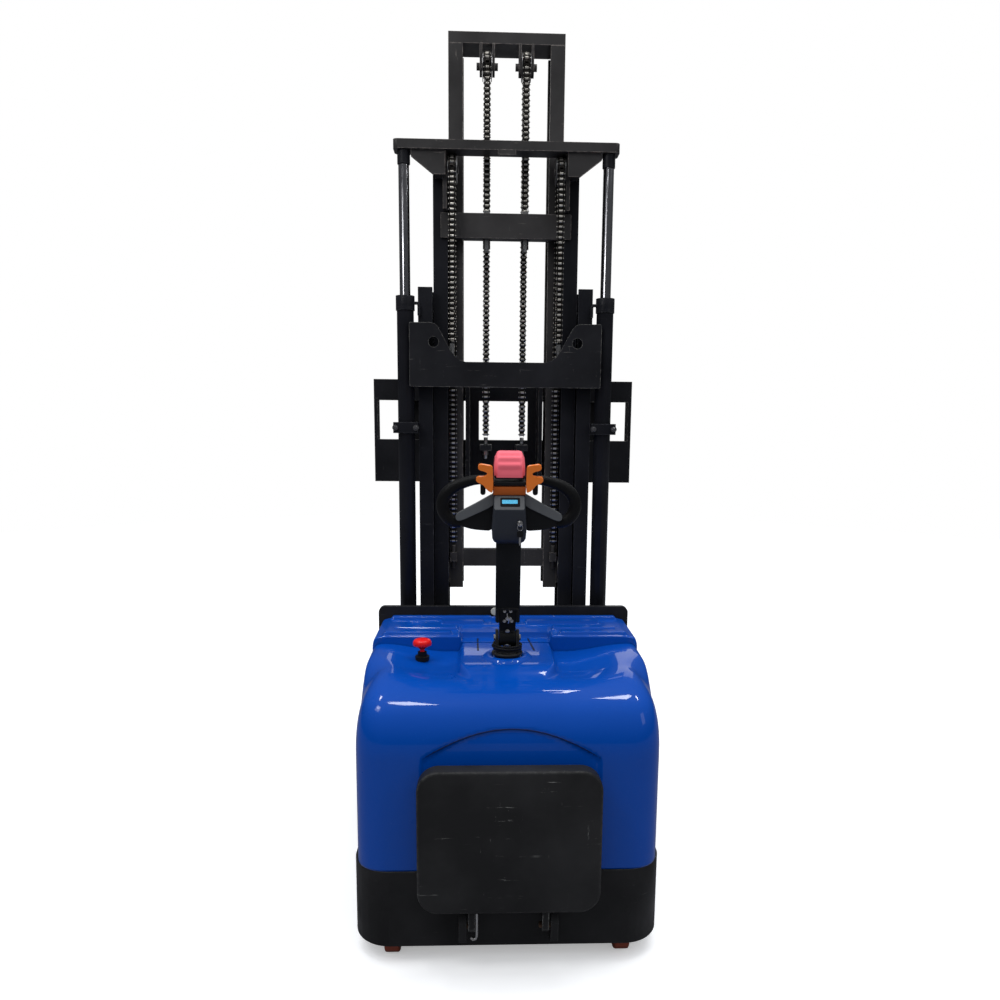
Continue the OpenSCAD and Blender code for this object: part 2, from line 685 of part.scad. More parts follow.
// The lift-off battery cover, notched over the pad, with ribs and a dished corner on top.
module battery_cover() color([0.0, 0.2, 0.6]) {
    y0 = cover_seam_y + 3;
    y1 = bulkhead_y - 2;
    z0 = side_top + 2;
    notch = [[-pad_half - 3, y0 - 1, z0 - 1], [pad_half + 3, y0 + cover_notch + 3, cover_top + 10]];
    difference() {
        intersection() {
            translate([0, y1, 0]) rotate([90, 0, 0]) linear_extrude(y1 - y0) cover_rear(0);
            span([-half, y0, z0], [half, y1, cover_top + 1]);
        }
        difference() {
            translate([0, y1 - 12, 0]) rotate([90, 0, 0]) linear_extrude(y1 - y0 - 24) cover_rear(14);
            span([-pad_half - 15, y0 - 1, z0 - 1], [pad_half + 15, y0 + cover_notch + 15, cover_top + 10]);
        }
        span(notch[0], notch[1]);
        translate([-250, y1 - 50, cover_top - 7]) cylinder(h = 20, r = 26);
        span([-40, y1 - 100, cover_top - 7], [40, y1 + 1, cover_top + 5]);
    }
    both_sides() for (y = [y1 - 86, y1 - 176])
        span([150, y, cover_top - 1], [310, y + 34, cover_top + 6]);
}

// ---------- inside the body ----------

module battery_pack() color([0.1, 0.1, 0.11]) {
    y0 = cover_seam_y + 14;
    y1 = bulkhead_y - 14;
    span([-340, y0, deck_z + 11], [340, y1, 630]);
    for (i = [-2 : 2], y = [y0 + 50, y1 - 50])
        translate([i * 130, y, 629]) cylinder(h = 22, r = 22);
}

// Pump motor, tank, valve block and motor controller.
module power_unit() color([0.12, 0.12, 0.13]) {
    span([-350, rear_y + 110, deck_z + 11], [-205, rear_y + 330, 430]);
    translate([-280, rear_y + 220, 429]) cylinder(h = 150, r = 56);
    span([-330, rear_y + 170, 578], [-230, rear_y + 270, 620]);
    span([210, rear_y + 120, deck_z + 11], [350, rear_y + 330, 500]);
    for (i = [0 : 5]) span([224 + i * 20, rear_y + 130, 499], [232 + i * 20, rear_y + 320, 530]);
}

module estop_base() color([0.05, 0.05, 0.05]) translate([estop_x, estop_y, 0]) difference() {
    union() {
        translate([0, 0, 738]) cylinder(h = 26, r = estop_r);
        translate([0, 0, 712]) cylinder(h = 53, r = 11.5);
    }
    translate([0, 0, 734]) cylinder(h = 40, r = 8);
}

module estop_knob() color([0.75, 0.05, 0.05]) translate([estop_x, estop_y, 0]) {
    translate([0, 0, 744]) cylinder(h = 43, r = 7.95);
    translate([0, 0, 772]) cylinder(h = 16, r = 17);
    translate([0, 0, 786]) intersection() {
        cylinder(h = 17, r = 26);
        translate([0, 0, -28]) sphere(r = 45);
    }
}

// ---------- drive and tiller ----------

// The turntable, gearbox, traction motor and steering shaft.
module drive_unit() color([0.1, 0.1, 0.11]) translate([0, steer_y, 0]) {
    translate([0, 0, 296]) cylinder(h = 30, r = 95);
    translate([0, 0, 262]) cylinder(h = 35, r = 120);
    translate([0, 0, 326]) cylinder(h = 250, r = 88);
    translate([0, 0, 576]) cylinder(h = 60, r = 60);
    translate([0, 0, 636]) cylinder(h = 60, r = 34);
    span([42, -70, 60], [92, 70, 262.5]);
    x_rod(-39, 43, 0, drive_wheel_r, 22);
}

module drive_wheel() color([0.5, 0.2, 0.12]) translate([0, steer_y, 0]) difference() {
    x_rod(-39, 39, 0, drive_wheel_r, drive_wheel_r);
    x_rod(-40, 40, 0, drive_wheel_r, 22 + running);
}

// The steering head that turns the drive unit and carries the tilting pivot.
module tiller_base() color([0.06, 0.06, 0.07]) translate([0, steer_y, 0]) {
    translate([0, 0, 696]) cylinder(h = 74, r = 34);
    translate([0, 0, 768]) cylinder(h = 8, r = 44);
    both_sides() difference() {
        union() {
            span([24, -24, 775], [34, 24, pivot_z]);
            x_rod(24, 34, 0, pivot_z, 24);
        }
        x_rod(23, 35, 0, pivot_z, 10 + running);
    }
}

// Places its children in the tiller's own frame, with z along the column.
module on_tiller() translate([0, steer_y, pivot_z]) rotate([tiller_lean, 0, 0]) children();

module tiller_column() color([0.06, 0.06, 0.07]) on_tiller() {
    x_rod(-38, 38, 0, 0, 10);
    difference() {
        union() {
            x_rod(-23.5, 23.5, 0, 0, 24);
            span([-23.5, -18, 0], [23.5, 18, 60]);
            span([-32, -20, 52], [32, 20, 288]);
        }
        x_rod(-24, 24, 0, 0, 10);
    }
}

module tiller_head() color([0.3, 0.31, 0.33]) on_tiller()
    translate([-head_half, 0, 0]) rotate([90, 0, 90]) linear_extrude(2 * head_half)
        polygon([[-30, 288], [-46, 300], [-52, 386], [-24, 421], [-24, head_top], [50, head_top],
                 [54, 440], [50, 380], [30, 300], [22, 288]]);

// One side of the handle: the round grip, its root and the flat arm below it.
module handle_side() {
    r = 15.5;
    bend = 72;
    cx = handle_half - r - bend - 9;
    cz = 380;
    translate([cx, 0, cz]) rotate([90, 0, 0]) rotate([0, 0, -35])
        rotate_extrude(angle = 150) translate([bend, 0]) circle(r = r);
    x_rod(head_half + 0.2, cx + bend * cos(115) + 2, 0, cz + bend * sin(115), r);
    translate([0, 15, 0]) rotate([90, 0, 0]) linear_extrude(30)
        polygon([[head_half + 0.2, 426], [head_half + 0.2, 318], [cx + 48, 326], [cx + 64, 338],
                 [cx + 50, 354], [cx + 30, 368]]);
}

module tiller_handle() color([0.04, 0.04, 0.04]) on_tiller() both_sides() handle_side();

// The soft pad that reverses the truck when it is pressed.
module belly_button() color([0.85, 0.35, 0.42]) on_tiller()
    intersection() {
        translate([0, 12, 487]) rotate([0, 90, 0]) cylinder(h = 86, r = 48, center = true);
        span([-43, -36, head_top + 6.4], [43, 60, 540]);
    }

// The two-armed travel control, joined through the head.
module throttle_wings() color([0.95, 0.4, 0.1]) on_tiller() both_sides() {
    x_rod(head_half + 0.6, head_half + 12, wing_y, wing_z, 9);
    span([head_half + 2, wing_y - 9, wing_z], [head_half + 14, wing_y + 8, 505]);
    span([head_half + 2, wing_y - 12, 482], [84, wing_y + 8, 505]);
    span([head_half + 2, wing_y - 14, 463], [88, wing_y + 6, 474]);
}

// The key and its bow, on the right of the head.
module key() color([0.6, 0.6, 0.62]) on_tiller() {
    y_rod(key_x, -66, -53, key_z, 7);
    span([key_x - 2, -76, key_z - 20], [key_x + 2, -62, key_z + 5]);
}

// ---------- wheels ----------

// The casters trail towards the rear.
module caster_place(side) on_side(side)
    translate([caster_x, caster_y, 0]) rotate([0, 0, 180]) children();

module caster_fork(side) color([0.08, 0.08, 0.09]) caster_place(side) {
    translate([0, 0, deck_z - 46]) cylinder(h = 45.5, r = 34);
    translate([0, 0, deck_z - 1]) cylinder(h = 16, r = 12);
    for (sx = [-1, 1])
        span([sx * 26 - 4, caster_trail - 20, caster_r - 16], [sx * 26 + 4, caster_trail + 20, deck_z - 45]);
    span([-30, -26, deck_z - 54], [30, caster_trail + 20, deck_z - 44]);
    x_rod(-26, 26, caster_trail, caster_r, 7);
}

module caster_wheel(side) color([0.45, 0.15, 0.1]) caster_place(side) difference() {
    x_rod(-caster_half, caster_half, caster_trail, caster_r, caster_r);
    x_rod(-caster_half - 1, caster_half + 1, caster_trail, caster_r, 7 + running);
}

// ---------- platform ----------

// The operator platform, folded up behind the body.
module platform_deck() color([0.03, 0.03, 0.03]) {
    back = rear_y - platform_back;
    low = hinge_z + 50;
    tread = 8;
    rim = 24;
    translate([0, back + platform_thick, low + platform_length / 2]) rotate([90, 0, 0]) difference() {
        linear_extrude(platform_thick) round_rect(platform_width, platform_length, 54);
        translate([0, 0, -1]) linear_extrude(platform_thick - tread + 1)
            round_rect(platform_width - 2 * rim, platform_length - 2 * rim, 54 - rim);
    }
    both_sides() {
        difference() {
            union() {
                span([84, rear_y - 54, hinge_z], [106, rear_y - 34, low + 40]);
                x_rod(84, 106, rear_y - 40, hinge_z, 14);
            }
            x_rod(83, 107, rear_y - 40, hinge_z, 8);
        }
        x_rod(82, 134, rear_y - 40, hinge_z, 8);
    }
}

// ---------- assembly ----------

chassis_skirt();
chassis_frame();
bulkhead_plate();
base_frame();
outrigger(-1);  // outrigger_left
outrigger(1);  // outrigger_right
outer_upright(-1);  // outer_upright_left
outer_upright(1);  // outer_upright_right
outer_tie_plate();
chain_a_anchors();
lift_cylinders();
cylinder_clamps();
drive_cover();
battery_cover();
battery_pack();
power_unit();
estop_base();
estop_knob();
chain_a_front();
outer_top_rollers();
mid_upright(-1);  // mid_upright_left
mid_upright(1);  // mid_upright_right
crosshead();
mid_crossbars();
cylinder_rods();
sheaves_a();
chain_a_rear();
chain_b_front();
chain_b_anchors();
mid_bottom_rollers();
mid_top_rollers();
inner_upright(-1);  // inner_upright_left
inner_upright(1);  // inner_upright_right
inner_top_bar();
inner_lower_bar();
sheaves_b();
chain_b_rear();
inner_bottom_rollers();
carriage_frame();
carriage_chain_rods();
carriage_rollers_upper();
carriage_rollers_lower();
fork(-1);  // fork_left
fork(1);  // fork_right
drive_unit();
drive_wheel();
tiller_base();
tiller_column();
tiller_head();
tiller_handle();
belly_button();
throttle_wings();
key();
caster_fork(-1);  // caster_fork_left
caster_fork(1);  // caster_fork_right
caster_wheel(-1);  // caster_wheel_left
caster_wheel(1);  // caster_wheel_right
load_wheel(-1);  // load_wheel_left
load_wheel(1);  // load_wheel_right
platform_deck();
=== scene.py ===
"""The walkie stacker's visual model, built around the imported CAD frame. Metres, row frame."""
import json
import math

import bmesh
import bpy
from mathutils import Matrix, Vector


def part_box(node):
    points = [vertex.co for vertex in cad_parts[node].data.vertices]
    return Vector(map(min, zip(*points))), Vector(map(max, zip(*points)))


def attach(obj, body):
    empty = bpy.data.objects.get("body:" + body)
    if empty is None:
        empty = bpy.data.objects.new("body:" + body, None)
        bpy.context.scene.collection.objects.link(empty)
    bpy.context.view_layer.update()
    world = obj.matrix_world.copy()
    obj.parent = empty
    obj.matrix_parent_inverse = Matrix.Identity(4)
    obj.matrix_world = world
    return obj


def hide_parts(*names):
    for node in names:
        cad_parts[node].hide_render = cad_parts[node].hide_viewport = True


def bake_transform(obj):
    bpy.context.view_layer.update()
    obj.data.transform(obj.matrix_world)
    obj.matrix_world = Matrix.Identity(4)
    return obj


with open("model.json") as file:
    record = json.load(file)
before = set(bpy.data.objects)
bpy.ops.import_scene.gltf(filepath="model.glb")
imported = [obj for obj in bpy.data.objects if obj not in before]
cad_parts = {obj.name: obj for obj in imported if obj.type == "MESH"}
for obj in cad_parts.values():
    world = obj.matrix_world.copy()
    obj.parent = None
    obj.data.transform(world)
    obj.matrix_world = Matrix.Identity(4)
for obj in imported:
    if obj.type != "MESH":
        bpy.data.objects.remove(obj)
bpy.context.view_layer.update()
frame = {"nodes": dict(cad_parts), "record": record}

# ---------- places taken from the frame ----------

BODY_LENGTH = 0.640
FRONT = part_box("bulkhead_plate")[0].y
REAR = FRONT - BODY_LENGTH
SKIRT_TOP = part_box("drive_cover")[0].z
JOINTS = {joint["name"]: joint for joint in frame["record"]["behaviour"]["joints"]}
PIVOT = Vector(JOINTS["tiller_tilt"]["pos_m"])
PRESS = JOINTS["belly_press"]["axis"]
LEAN = math.atan2(PRESS[1], -PRESS[2])
ON_TILLER = Matrix.Translation(PIVOT) @ Matrix.Rotation(LEAN, 4, "X")
STEER_Y = PIVOT.y
MM = 0.001


def from_rear(x, y, z):
    """A point with y counted forwards from the body's rear face."""
    return Vector((x, REAR + y, z))


def smooth(value, low, high):
    """0 below low, 1 above high and a smooth step between."""
    t = min(1.0, max(0.0, (value - low) / (high - low)))
    return t * t * (3 - 2 * t)


def plateau(value, low, high, soft):
    """1 between low and high, falling to 0 over soft outside them."""
    return smooth(value, low - soft, low) * (1 - smooth(value, high, high + soft))


# ---------- shader nodes ----------

class Nodes:
    """A thin layer over Blender's node calls. A value is a number, a colour or another node's output."""

    def __init__(self, tree):
        self.nodes, self.links = tree.nodes, tree.links

    def put(self, socket, value):
        if isinstance(value, bpy.types.NodeSocket):
            self.links.new(value, socket)
        else:
            socket.default_value = value

    def node(self, kind, inputs=None, **settings):
        made = self.nodes.new("ShaderNode" + kind)
        for key, value in settings.items():
            setattr(made, key, value)
        for key, value in (inputs or {}).items():
            self.put(made.inputs[key], value)
        return made

    def ramp(self, value, low, high, start=0.0, end=1.0):
        """start below low, end above high, and a straight line between."""
        made = self.node("MapRange", {"Value": value, "From Min": low, "From Max": high,
                                      "To Min": start, "To Max": end})
        return made.outputs[0]

    def times(self, a, b):
        return self.node("Math", {0: a, 1: b}, operation="MULTIPLY").outputs[0]

    def plus(self, a, b):
        return self.node("Math", {0: a, 1: b}, operation="ADD").outputs[0]

    def larger(self, a, b):
        return self.node("Math", {0: a, 1: b}, operation="MAXIMUM").outputs[0]

    def mix(self, mask, a, b):
        return self.node("Mix", {0: mask, 6: a, 7: b}, data_type="RGBA").outputs[2]


class Paint(Nodes):
    """One material, built on its Principled shader."""

    def __init__(self, name, colour, roughness, **shader):
        self.material = bpy.data.materials.new(name)
        self.material.use_nodes = True
        super().__init__(self.material.node_tree)
        self.shader = self.nodes["Principled BSDF"]
        self.coords = self.node("TexCoord").outputs["Object"]
        self.colour = tuple(colour) + (1,)
        self.set("Base Color", self.colour)
        self.set("Roughness", roughness)
        for socket, value in shader.items():
            self.set(socket.replace("_", " "), value)

    def set(self, socket, value):
        self.put(self.shader.inputs[socket], value)

    def noise(self, scale, detail=3.0, rough=0.55, stretch=(1, 1, 1), distortion=0.0):
        place = self.node("Mapping", {"Vector": self.coords, "Scale": stretch}).outputs[0]
        made = self.node("TexNoise", {"Vector": place, "Scale": scale, "Detail": detail,
                                      "Roughness": rough, "Distortion": distortion})
        return made.outputs["Fac"]

    def edges(self, radius):
        """A mask that is 1 on convex and concave edges within radius."""
        bevel = self.node("Bevel", {"Radius": radius}, samples=4).outputs[0]
        true = self.node("NewGeometry").outputs["Normal"]
        dot = self.node("VectorMath", {0: bevel, 1: true}, operation="DOT_PRODUCT").outputs["Value"]
        return self.ramp(dot, 0.995, 0.86)

    def bump(self, height, strength, distance=0.001):
        made = self.node("Bump", {"Height": height, "Strength": strength, "Distance": distance})
        self.set("Normal", made.outputs[0])


# ---------- studio ----------

def make_camera():
    """The camera stands behind the truck, a little above the tiller, and looks down at it."""
    distance, left, height = 1.906, -0.0670, 1.4262
    pitch, yaw, roll = math.radians(8.679), math.radians(2.110), math.radians(0.529)
    data = bpy.data.cameras.new("camera")
    data.sensor_width = 36
    data.lens = 28.45
    data.shift_x = -0.0127
    data.shift_y = 0.0400
    data.clip_end = 100
    camera = bpy.data.objects.new("camera", data)
    forward = Vector((math.sin(yaw) * math.cos(pitch), math.cos(yaw) * math.cos(pitch), -math.sin(pitch)))
    right = Vector((math.cos(yaw), -math.sin(yaw), 0))
    up = right.cross(forward)
    turn = Matrix((right, up, -forward)).transposed().to_4x4() @ Matrix.Rotation(roll, 4, "Z")
    camera.matrix_world = Matrix.Translation((left, REAR - distance, height)) @ turn
    bpy.context.scene.collection.objects.link(camera)
    bpy.context.scene.camera = camera


def area_light(name, place, aim, size, power, turn=0.0):
    """A rectangular lamp that faces aim, or straight down and turned where aim is None."""
    data = bpy.data.lights.new(name, "AREA")
    data.shape = "RECTANGLE"
    data.size, data.size_y = size
    data.energy = power
    light = bpy.data.objects.new(name, data)
    light.location = place
    if aim:
        light.rotation_euler = (Vector(aim) - Vector(place)).to_track_quat("-Z", "Y").to_euler()
    else:
        light.rotation_euler = (0, 0, turn)
    bpy.context.scene.collection.objects.link(light)


def make_studio():
    """A pale floor, a room that is bright overhead, soft lights, and five small lamps for the gloss."""
    world = bpy.data.worlds.new("room")
    bpy.context.scene.world = world
    world.use_nodes = True
    room = Nodes(world.node_tree)
    rays = room.node("LightPath").outputs
    direction = room.node("SeparateXYZ", {0: room.node("TexCoord").outputs["Generated"]})
    overhead = room.ramp(direction.outputs["Z"], 0, 1, 0.15, 1.5)
    # Reflections see a darker room than the surfaces that it lights.
    reflected = room.node("Math", {0: rays["Is Glossy Ray"], 1: -0.8, 2: 1.0}, operation="MULTIPLY_ADD")
    strength = room.times(overhead, reflected.outputs[0])
    felt = room.node("Background", {"Color": (0.92, 0.95, 1.0, 1), "Strength": strength})
    seen = room.node("Background", {"Color": (1, 1, 1, 1)})
    pick = room.node("MixShader", {0: rays["Is Camera Ray"], 1: felt.outputs[0], 2: seen.outputs[0]})
    room.put(room.nodes["World Output"].inputs["Surface"], pick.outputs[0])
    centre = (0, REAR + 0.3, 0.7)
    area_light("key", (-2.2, REAR - 1.6, 4.2), (0, REAR + 0.7, 1.9), (1.2, 0.9), 13)
    area_light("upper", (-1.5, REAR - 0.9, 3.3), (0, REAR + 0.7, 2.2), (0.5, 0.5), 7)
    area_light("fill", (2.8, REAR - 2.2, 2.4), centre, (0.9, 1.4), 5)
    strips = ((-1.5, 0.3, 12, -0.5), (-0.6, -0.7, 10, 0.35), (0.45, 1.1, 10, -0.2), (0.95, 0.2, 10, -0.5),
              (1.9, 0.3, 13, 0.5))
    for x, ahead, power, turn in strips:
        area_light("strip", (x, REAR + ahead, 4.2), None, (0.26, 0.60), power, turn)
    area_light("front", (0.8, 3.6, 3.2), (0, 0, 1.0), (3.2, 2.2), 24)
    verts = [(9 * math.cos(a * math.tau / 64), 9 * math.sin(a * math.tau / 64), 0) for a in range(64)]
    mesh = bpy.data.meshes.new("floor")
    mesh.from_pydata(verts, [], [list(range(64))])
    floor = bpy.data.objects.new("floor", mesh)
    bpy.context.scene.collection.objects.link(floor)
    mesh.materials.append(floor_finish())


# ---------- materials ----------

def worn_paint(name, base, worn, roughness, grain=900, wear=0.5, marks=0.5, rim=0.0035):
    """Coated steel: fine grain, faint dust and colour drift, scuffs, scratches and rubbed edges."""
    paint = Paint(name, base, roughness, Specular_IOR_Level=0.16)
    drift = paint.noise(5, 4)
    lighter = tuple(min(1, c * 1.9 + 0.006) for c in base) + (1,)
    colour = paint.mix(paint.ramp(drift, 0.35, 0.75, 0, 0.75), paint.colour, lighter)
    scratch = paint.noise(22, 6, 0.72, (0.35, 0.35, 5.5), 0.3)
    across = paint.noise(26, 5, 0.75, (5, 5, 0.5), 0.2)
    lines = paint.plus(paint.ramp(scratch, 0.64, 0.67), paint.ramp(across, 0.66, 0.70))
    patch = paint.ramp(paint.noise(7, 3), 0.5, 0.64)
    scars = paint.times(paint.times(lines, patch), marks)
    rubbed = paint.times(paint.edges(rim), paint.ramp(paint.noise(60, 5, 0.7), 0.42, 0.62, 0.1, wear))
    mask = paint.larger(scars, rubbed)
    paint.set("Base Color", paint.mix(mask, colour, tuple(worn) + (1,)))
    paint.set("Roughness", paint.ramp(paint.plus(paint.noise(14, 5), paint.times(mask, 0.25)),
                                      0.3, 0.95, roughness - 0.1, roughness + 0.2))
    paint.bump(paint.plus(paint.noise(grain, 2), paint.times(mask, -0.8)), 0.28, 0.0004)
    return paint.material


def moulding(name, base, roughness, grain=700, strength=0.25, coat=0.0, wave=0.0, drift=0.25, shine=0.2):
    """Moulded plastic or rubber: grain, slow waves in the gloss, handling marks and colour drift."""
    paint = Paint(name, base, roughness, Coat_Weight=coat, Coat_Roughness=0.03, Specular_IOR_Level=shine)
    darker = tuple(c * 0.62 for c in base) + (1,)
    dusty = tuple(min(1, c * 1.12 + 0.012) for c in base) + (1,)
    slow = paint.noise(4.5, 4)
    colour = paint.mix(paint.ramp(slow, 0.3, 0.75, drift, 0), paint.colour, darker)
    specks = paint.times(paint.ramp(paint.noise(140, 4, 0.7), 0.60, 0.72), 0.35)
    scuffs = paint.times(paint.ramp(paint.noise(18, 7, 0.75, (0.6, 0.6, 3.2), 0.6), 0.66, 0.73), 0.45)
    mask = paint.larger(specks, scuffs)
    paint.set("Base Color", paint.mix(mask, colour, dusty))
    paint.set("Roughness", paint.ramp(paint.plus(paint.noise(11, 5), paint.times(mask, 0.4)),
                                      0.3, 1.0, max(0.03, roughness - 0.07), roughness + 0.16))
    height = paint.plus(paint.times(paint.noise(grain, 2), 0.4), paint.times(paint.noise(13, 2, 0.4), wave))
    paint.bump(height, strength, 0.0012)
    return paint.material


def steel(name, base, roughness, stains, grease, stretch=(1, 1, 1)):
    """Bare or plated metal: brushed grain along stretch, stains and a film of grease or dirt."""
    paint = Paint(name, base, roughness, Metallic=1.0)
    film = paint.ramp(paint.noise(48, 5, 0.65), 0.44, 0.66, 0, grease)
    tone = paint.ramp(paint.noise(9, 4), 0.3, 0.75, 0, 0.4)
    colour = paint.mix(tone, paint.colour, tuple(c * 0.7 for c in base) + (1,))
    paint.set("Base Color", paint.mix(film, colour, tuple(stains) + (1,)))
    brushed = paint.noise(420, 3, 0.6, stretch)
    paint.set("Roughness", paint.ramp(paint.plus(brushed, film), 0.3, 1.3,
                                      roughness - 0.05, roughness + 0.3))
    paint.bump(brushed, 0.18, 0.0004)
    return paint.material


def floor_finish():
    """The pale studio floor. It bounces less light than it shows, so that the low sides stay deep."""
    paint = Paint("floor", (0.86, 0.86, 0.86), 0.6)
    rays = paint.node("LightPath").outputs["Is Camera Ray"]
    tone = paint.mix(paint.ramp(paint.noise(3, 3), 0.3, 0.7), (0.84, 0.84, 0.84, 1), (0.88, 0.88, 0.88, 1))
    paint.set("Base Color", paint.mix(rays, (0.19, 0.19, 0.20, 1), tone))
    paint.set("Emission Color", (1, 1, 1, 1))
    paint.set("Emission Strength", paint.times(rays, 0.34))
    paint.bump(paint.noise(300, 2), 0.05)
    return paint.material


def display():
    """The lit screen: rows of small dark blocks on cyan, with uneven gloss."""
    paint = Paint("screen", (0.08, 0.5, 0.62), 0.12, Coat_Weight=1.0)
    glow = paint.ramp(paint.noise(60, 2), 0.2, 0.8, 0.75, 1.0)
    blocks = paint.ramp(paint.noise(900, 0, 0.2, (1, 0.4, 0.4)), 0.56, 0.6, 0, 0.5)
    lit = paint.mix(blocks, (0.10, 0.52, 0.80, 1), (0.03, 0.18, 0.30, 1))
    paint.set("Base Color", lit)
    paint.set("Emission Color", lit)
    paint.set("Emission Strength", 0.30)
    paint.set("Roughness", paint.times(glow, 0.16))
    paint.bump(paint.noise(500, 1), 0.03)
    return paint.material


MAST = worn_paint("mast_paint", (0.0070, 0.0074, 0.0100), (0.11, 0.11, 0.12), 0.38, wear=0.7, marks=0.5)
PLATE = worn_paint("plate_paint", (0.0102, 0.0104, 0.0125), (0.20, 0.195, 0.18), 0.40, wear=1.3, marks=0.7)
# Lighter than the other black paints: partly real scratches and dust, partly painted light that stands for
# the brighter light on the inner stage, crosshead and bars.
RUBBED_AND_LIT = worn_paint("rubbed_and_lit_paint", (0.030, 0.0285, 0.0285), (0.26, 0.23, 0.21), 0.42, wear=1.4, marks=0.9)
BLACK = worn_paint("black_paint", (0.0104, 0.0104, 0.0112), (0.10, 0.10, 0.10), 0.40, wear=0.6, marks=0.5)
DECK = worn_paint("platform_paint", (0.0138, 0.0138, 0.0145), (0.26, 0.26, 0.25), 0.50,
                  grain=420, wear=1.5, marks=0.85, rim=0.006)
BLUE = moulding("blue_shell", (0.0, 0.062, 0.385), 0.34, 300, 0.12,
                coat=0.65, wave=4.0, drift=0.15, shine=0.05)
COLUMN = worn_paint("column_paint", (0.003, 0.0035, 0.0045), (0.05, 0.05, 0.055), 0.46, wear=0.6, marks=0.3)
# Dark blue for the tube along the arch: painted shadow of its groove.
GROOVE_SHADOW = moulding("blue_groove_shadow", (0.0, 0.012, 0.085), 0.5, 300, 0.1)
PALE = moulding("pale_plastic", (0.52, 0.52, 0.46), 0.4)
BLACK_PLASTIC = moulding("black_plastic", (0.007, 0.007, 0.008), 0.42)
GREY_PLASTIC = moulding("grey_plastic", (0.032, 0.036, 0.046), 0.46, 1400, 0.35)
LIGHT_GREY = moulding("light_grey_plastic", (0.12, 0.125, 0.13), 0.42, 1400, 0.3)
ORANGE = moulding("orange_plastic", (0.90, 0.215, 0.026), 0.34, 900, 0.15, coat=0.3)
# A darker copy of the orange for the collar, which faces down: painted shade.
SHADED_ORANGE = moulding("shaded_orange_plastic", (0.52, 0.115, 0.018), 0.42, 900, 0.2)
PINK = moulding("pink_rubber", (0.95, 0.165, 0.215), 0.50, 1300, 0.4, drift=0.3)
RED = moulding("red_plastic", (0.84, 0.008, 0.008), 0.24, 500, 0.1, coat=0.6)
GRIP = moulding("grip_rubber", (0.0040, 0.0040, 0.0046), 0.48, 1600, 0.8)
CABLE = moulding("cable_rubber", (0.009, 0.009, 0.010), 0.40, 1200, 0.3)
CHROME = steel("chrome_rod", (0.245, 0.245, 0.26), 0.10, (0.10, 0.095, 0.09), 0.12, (1, 1, 0.04))
CHAIN = steel("chain_steel", (0.78, 0.75, 0.68), 0.36, (0.10, 0.085, 0.06), 0.45)
CHAIN_DARK = steel("chain_plate_steel", (0.040, 0.037, 0.034), 0.40, (0.010, 0.009, 0.008), 0.6)
ZINC = steel("bright_steel", (0.62, 0.62, 0.62), 0.26, (0.16, 0.14, 0.11), 0.35)
RUST = steel("pin_steel", (0.16, 0.10, 0.07), 0.5, (0.05, 0.028, 0.018), 0.7)
ROLLER = steel("roller_steel", (0.28, 0.28, 0.29), 0.32, (0.03, 0.026, 0.02), 0.6, (0.1, 1, 1))
POLY = moulding("wheel_poly", (0.25, 0.055, 0.03), 0.45, 300, 0.4, drift=0.5)
CAST = worn_paint("cast_grey", (0.03, 0.03, 0.032), (0.16, 0.16, 0.16), 0.55, grain=160, wear=0.5)
SCREEN = display()


# ---------- shapes ----------

# Puts two numbers across an axis and one along it into the order x, y, z.
ALONG = {"X": lambda a, b, d: (d, a, b), "Y": lambda a, b, d: (a, d, b), "Z": lambda a, b, d: (a, b, d)}


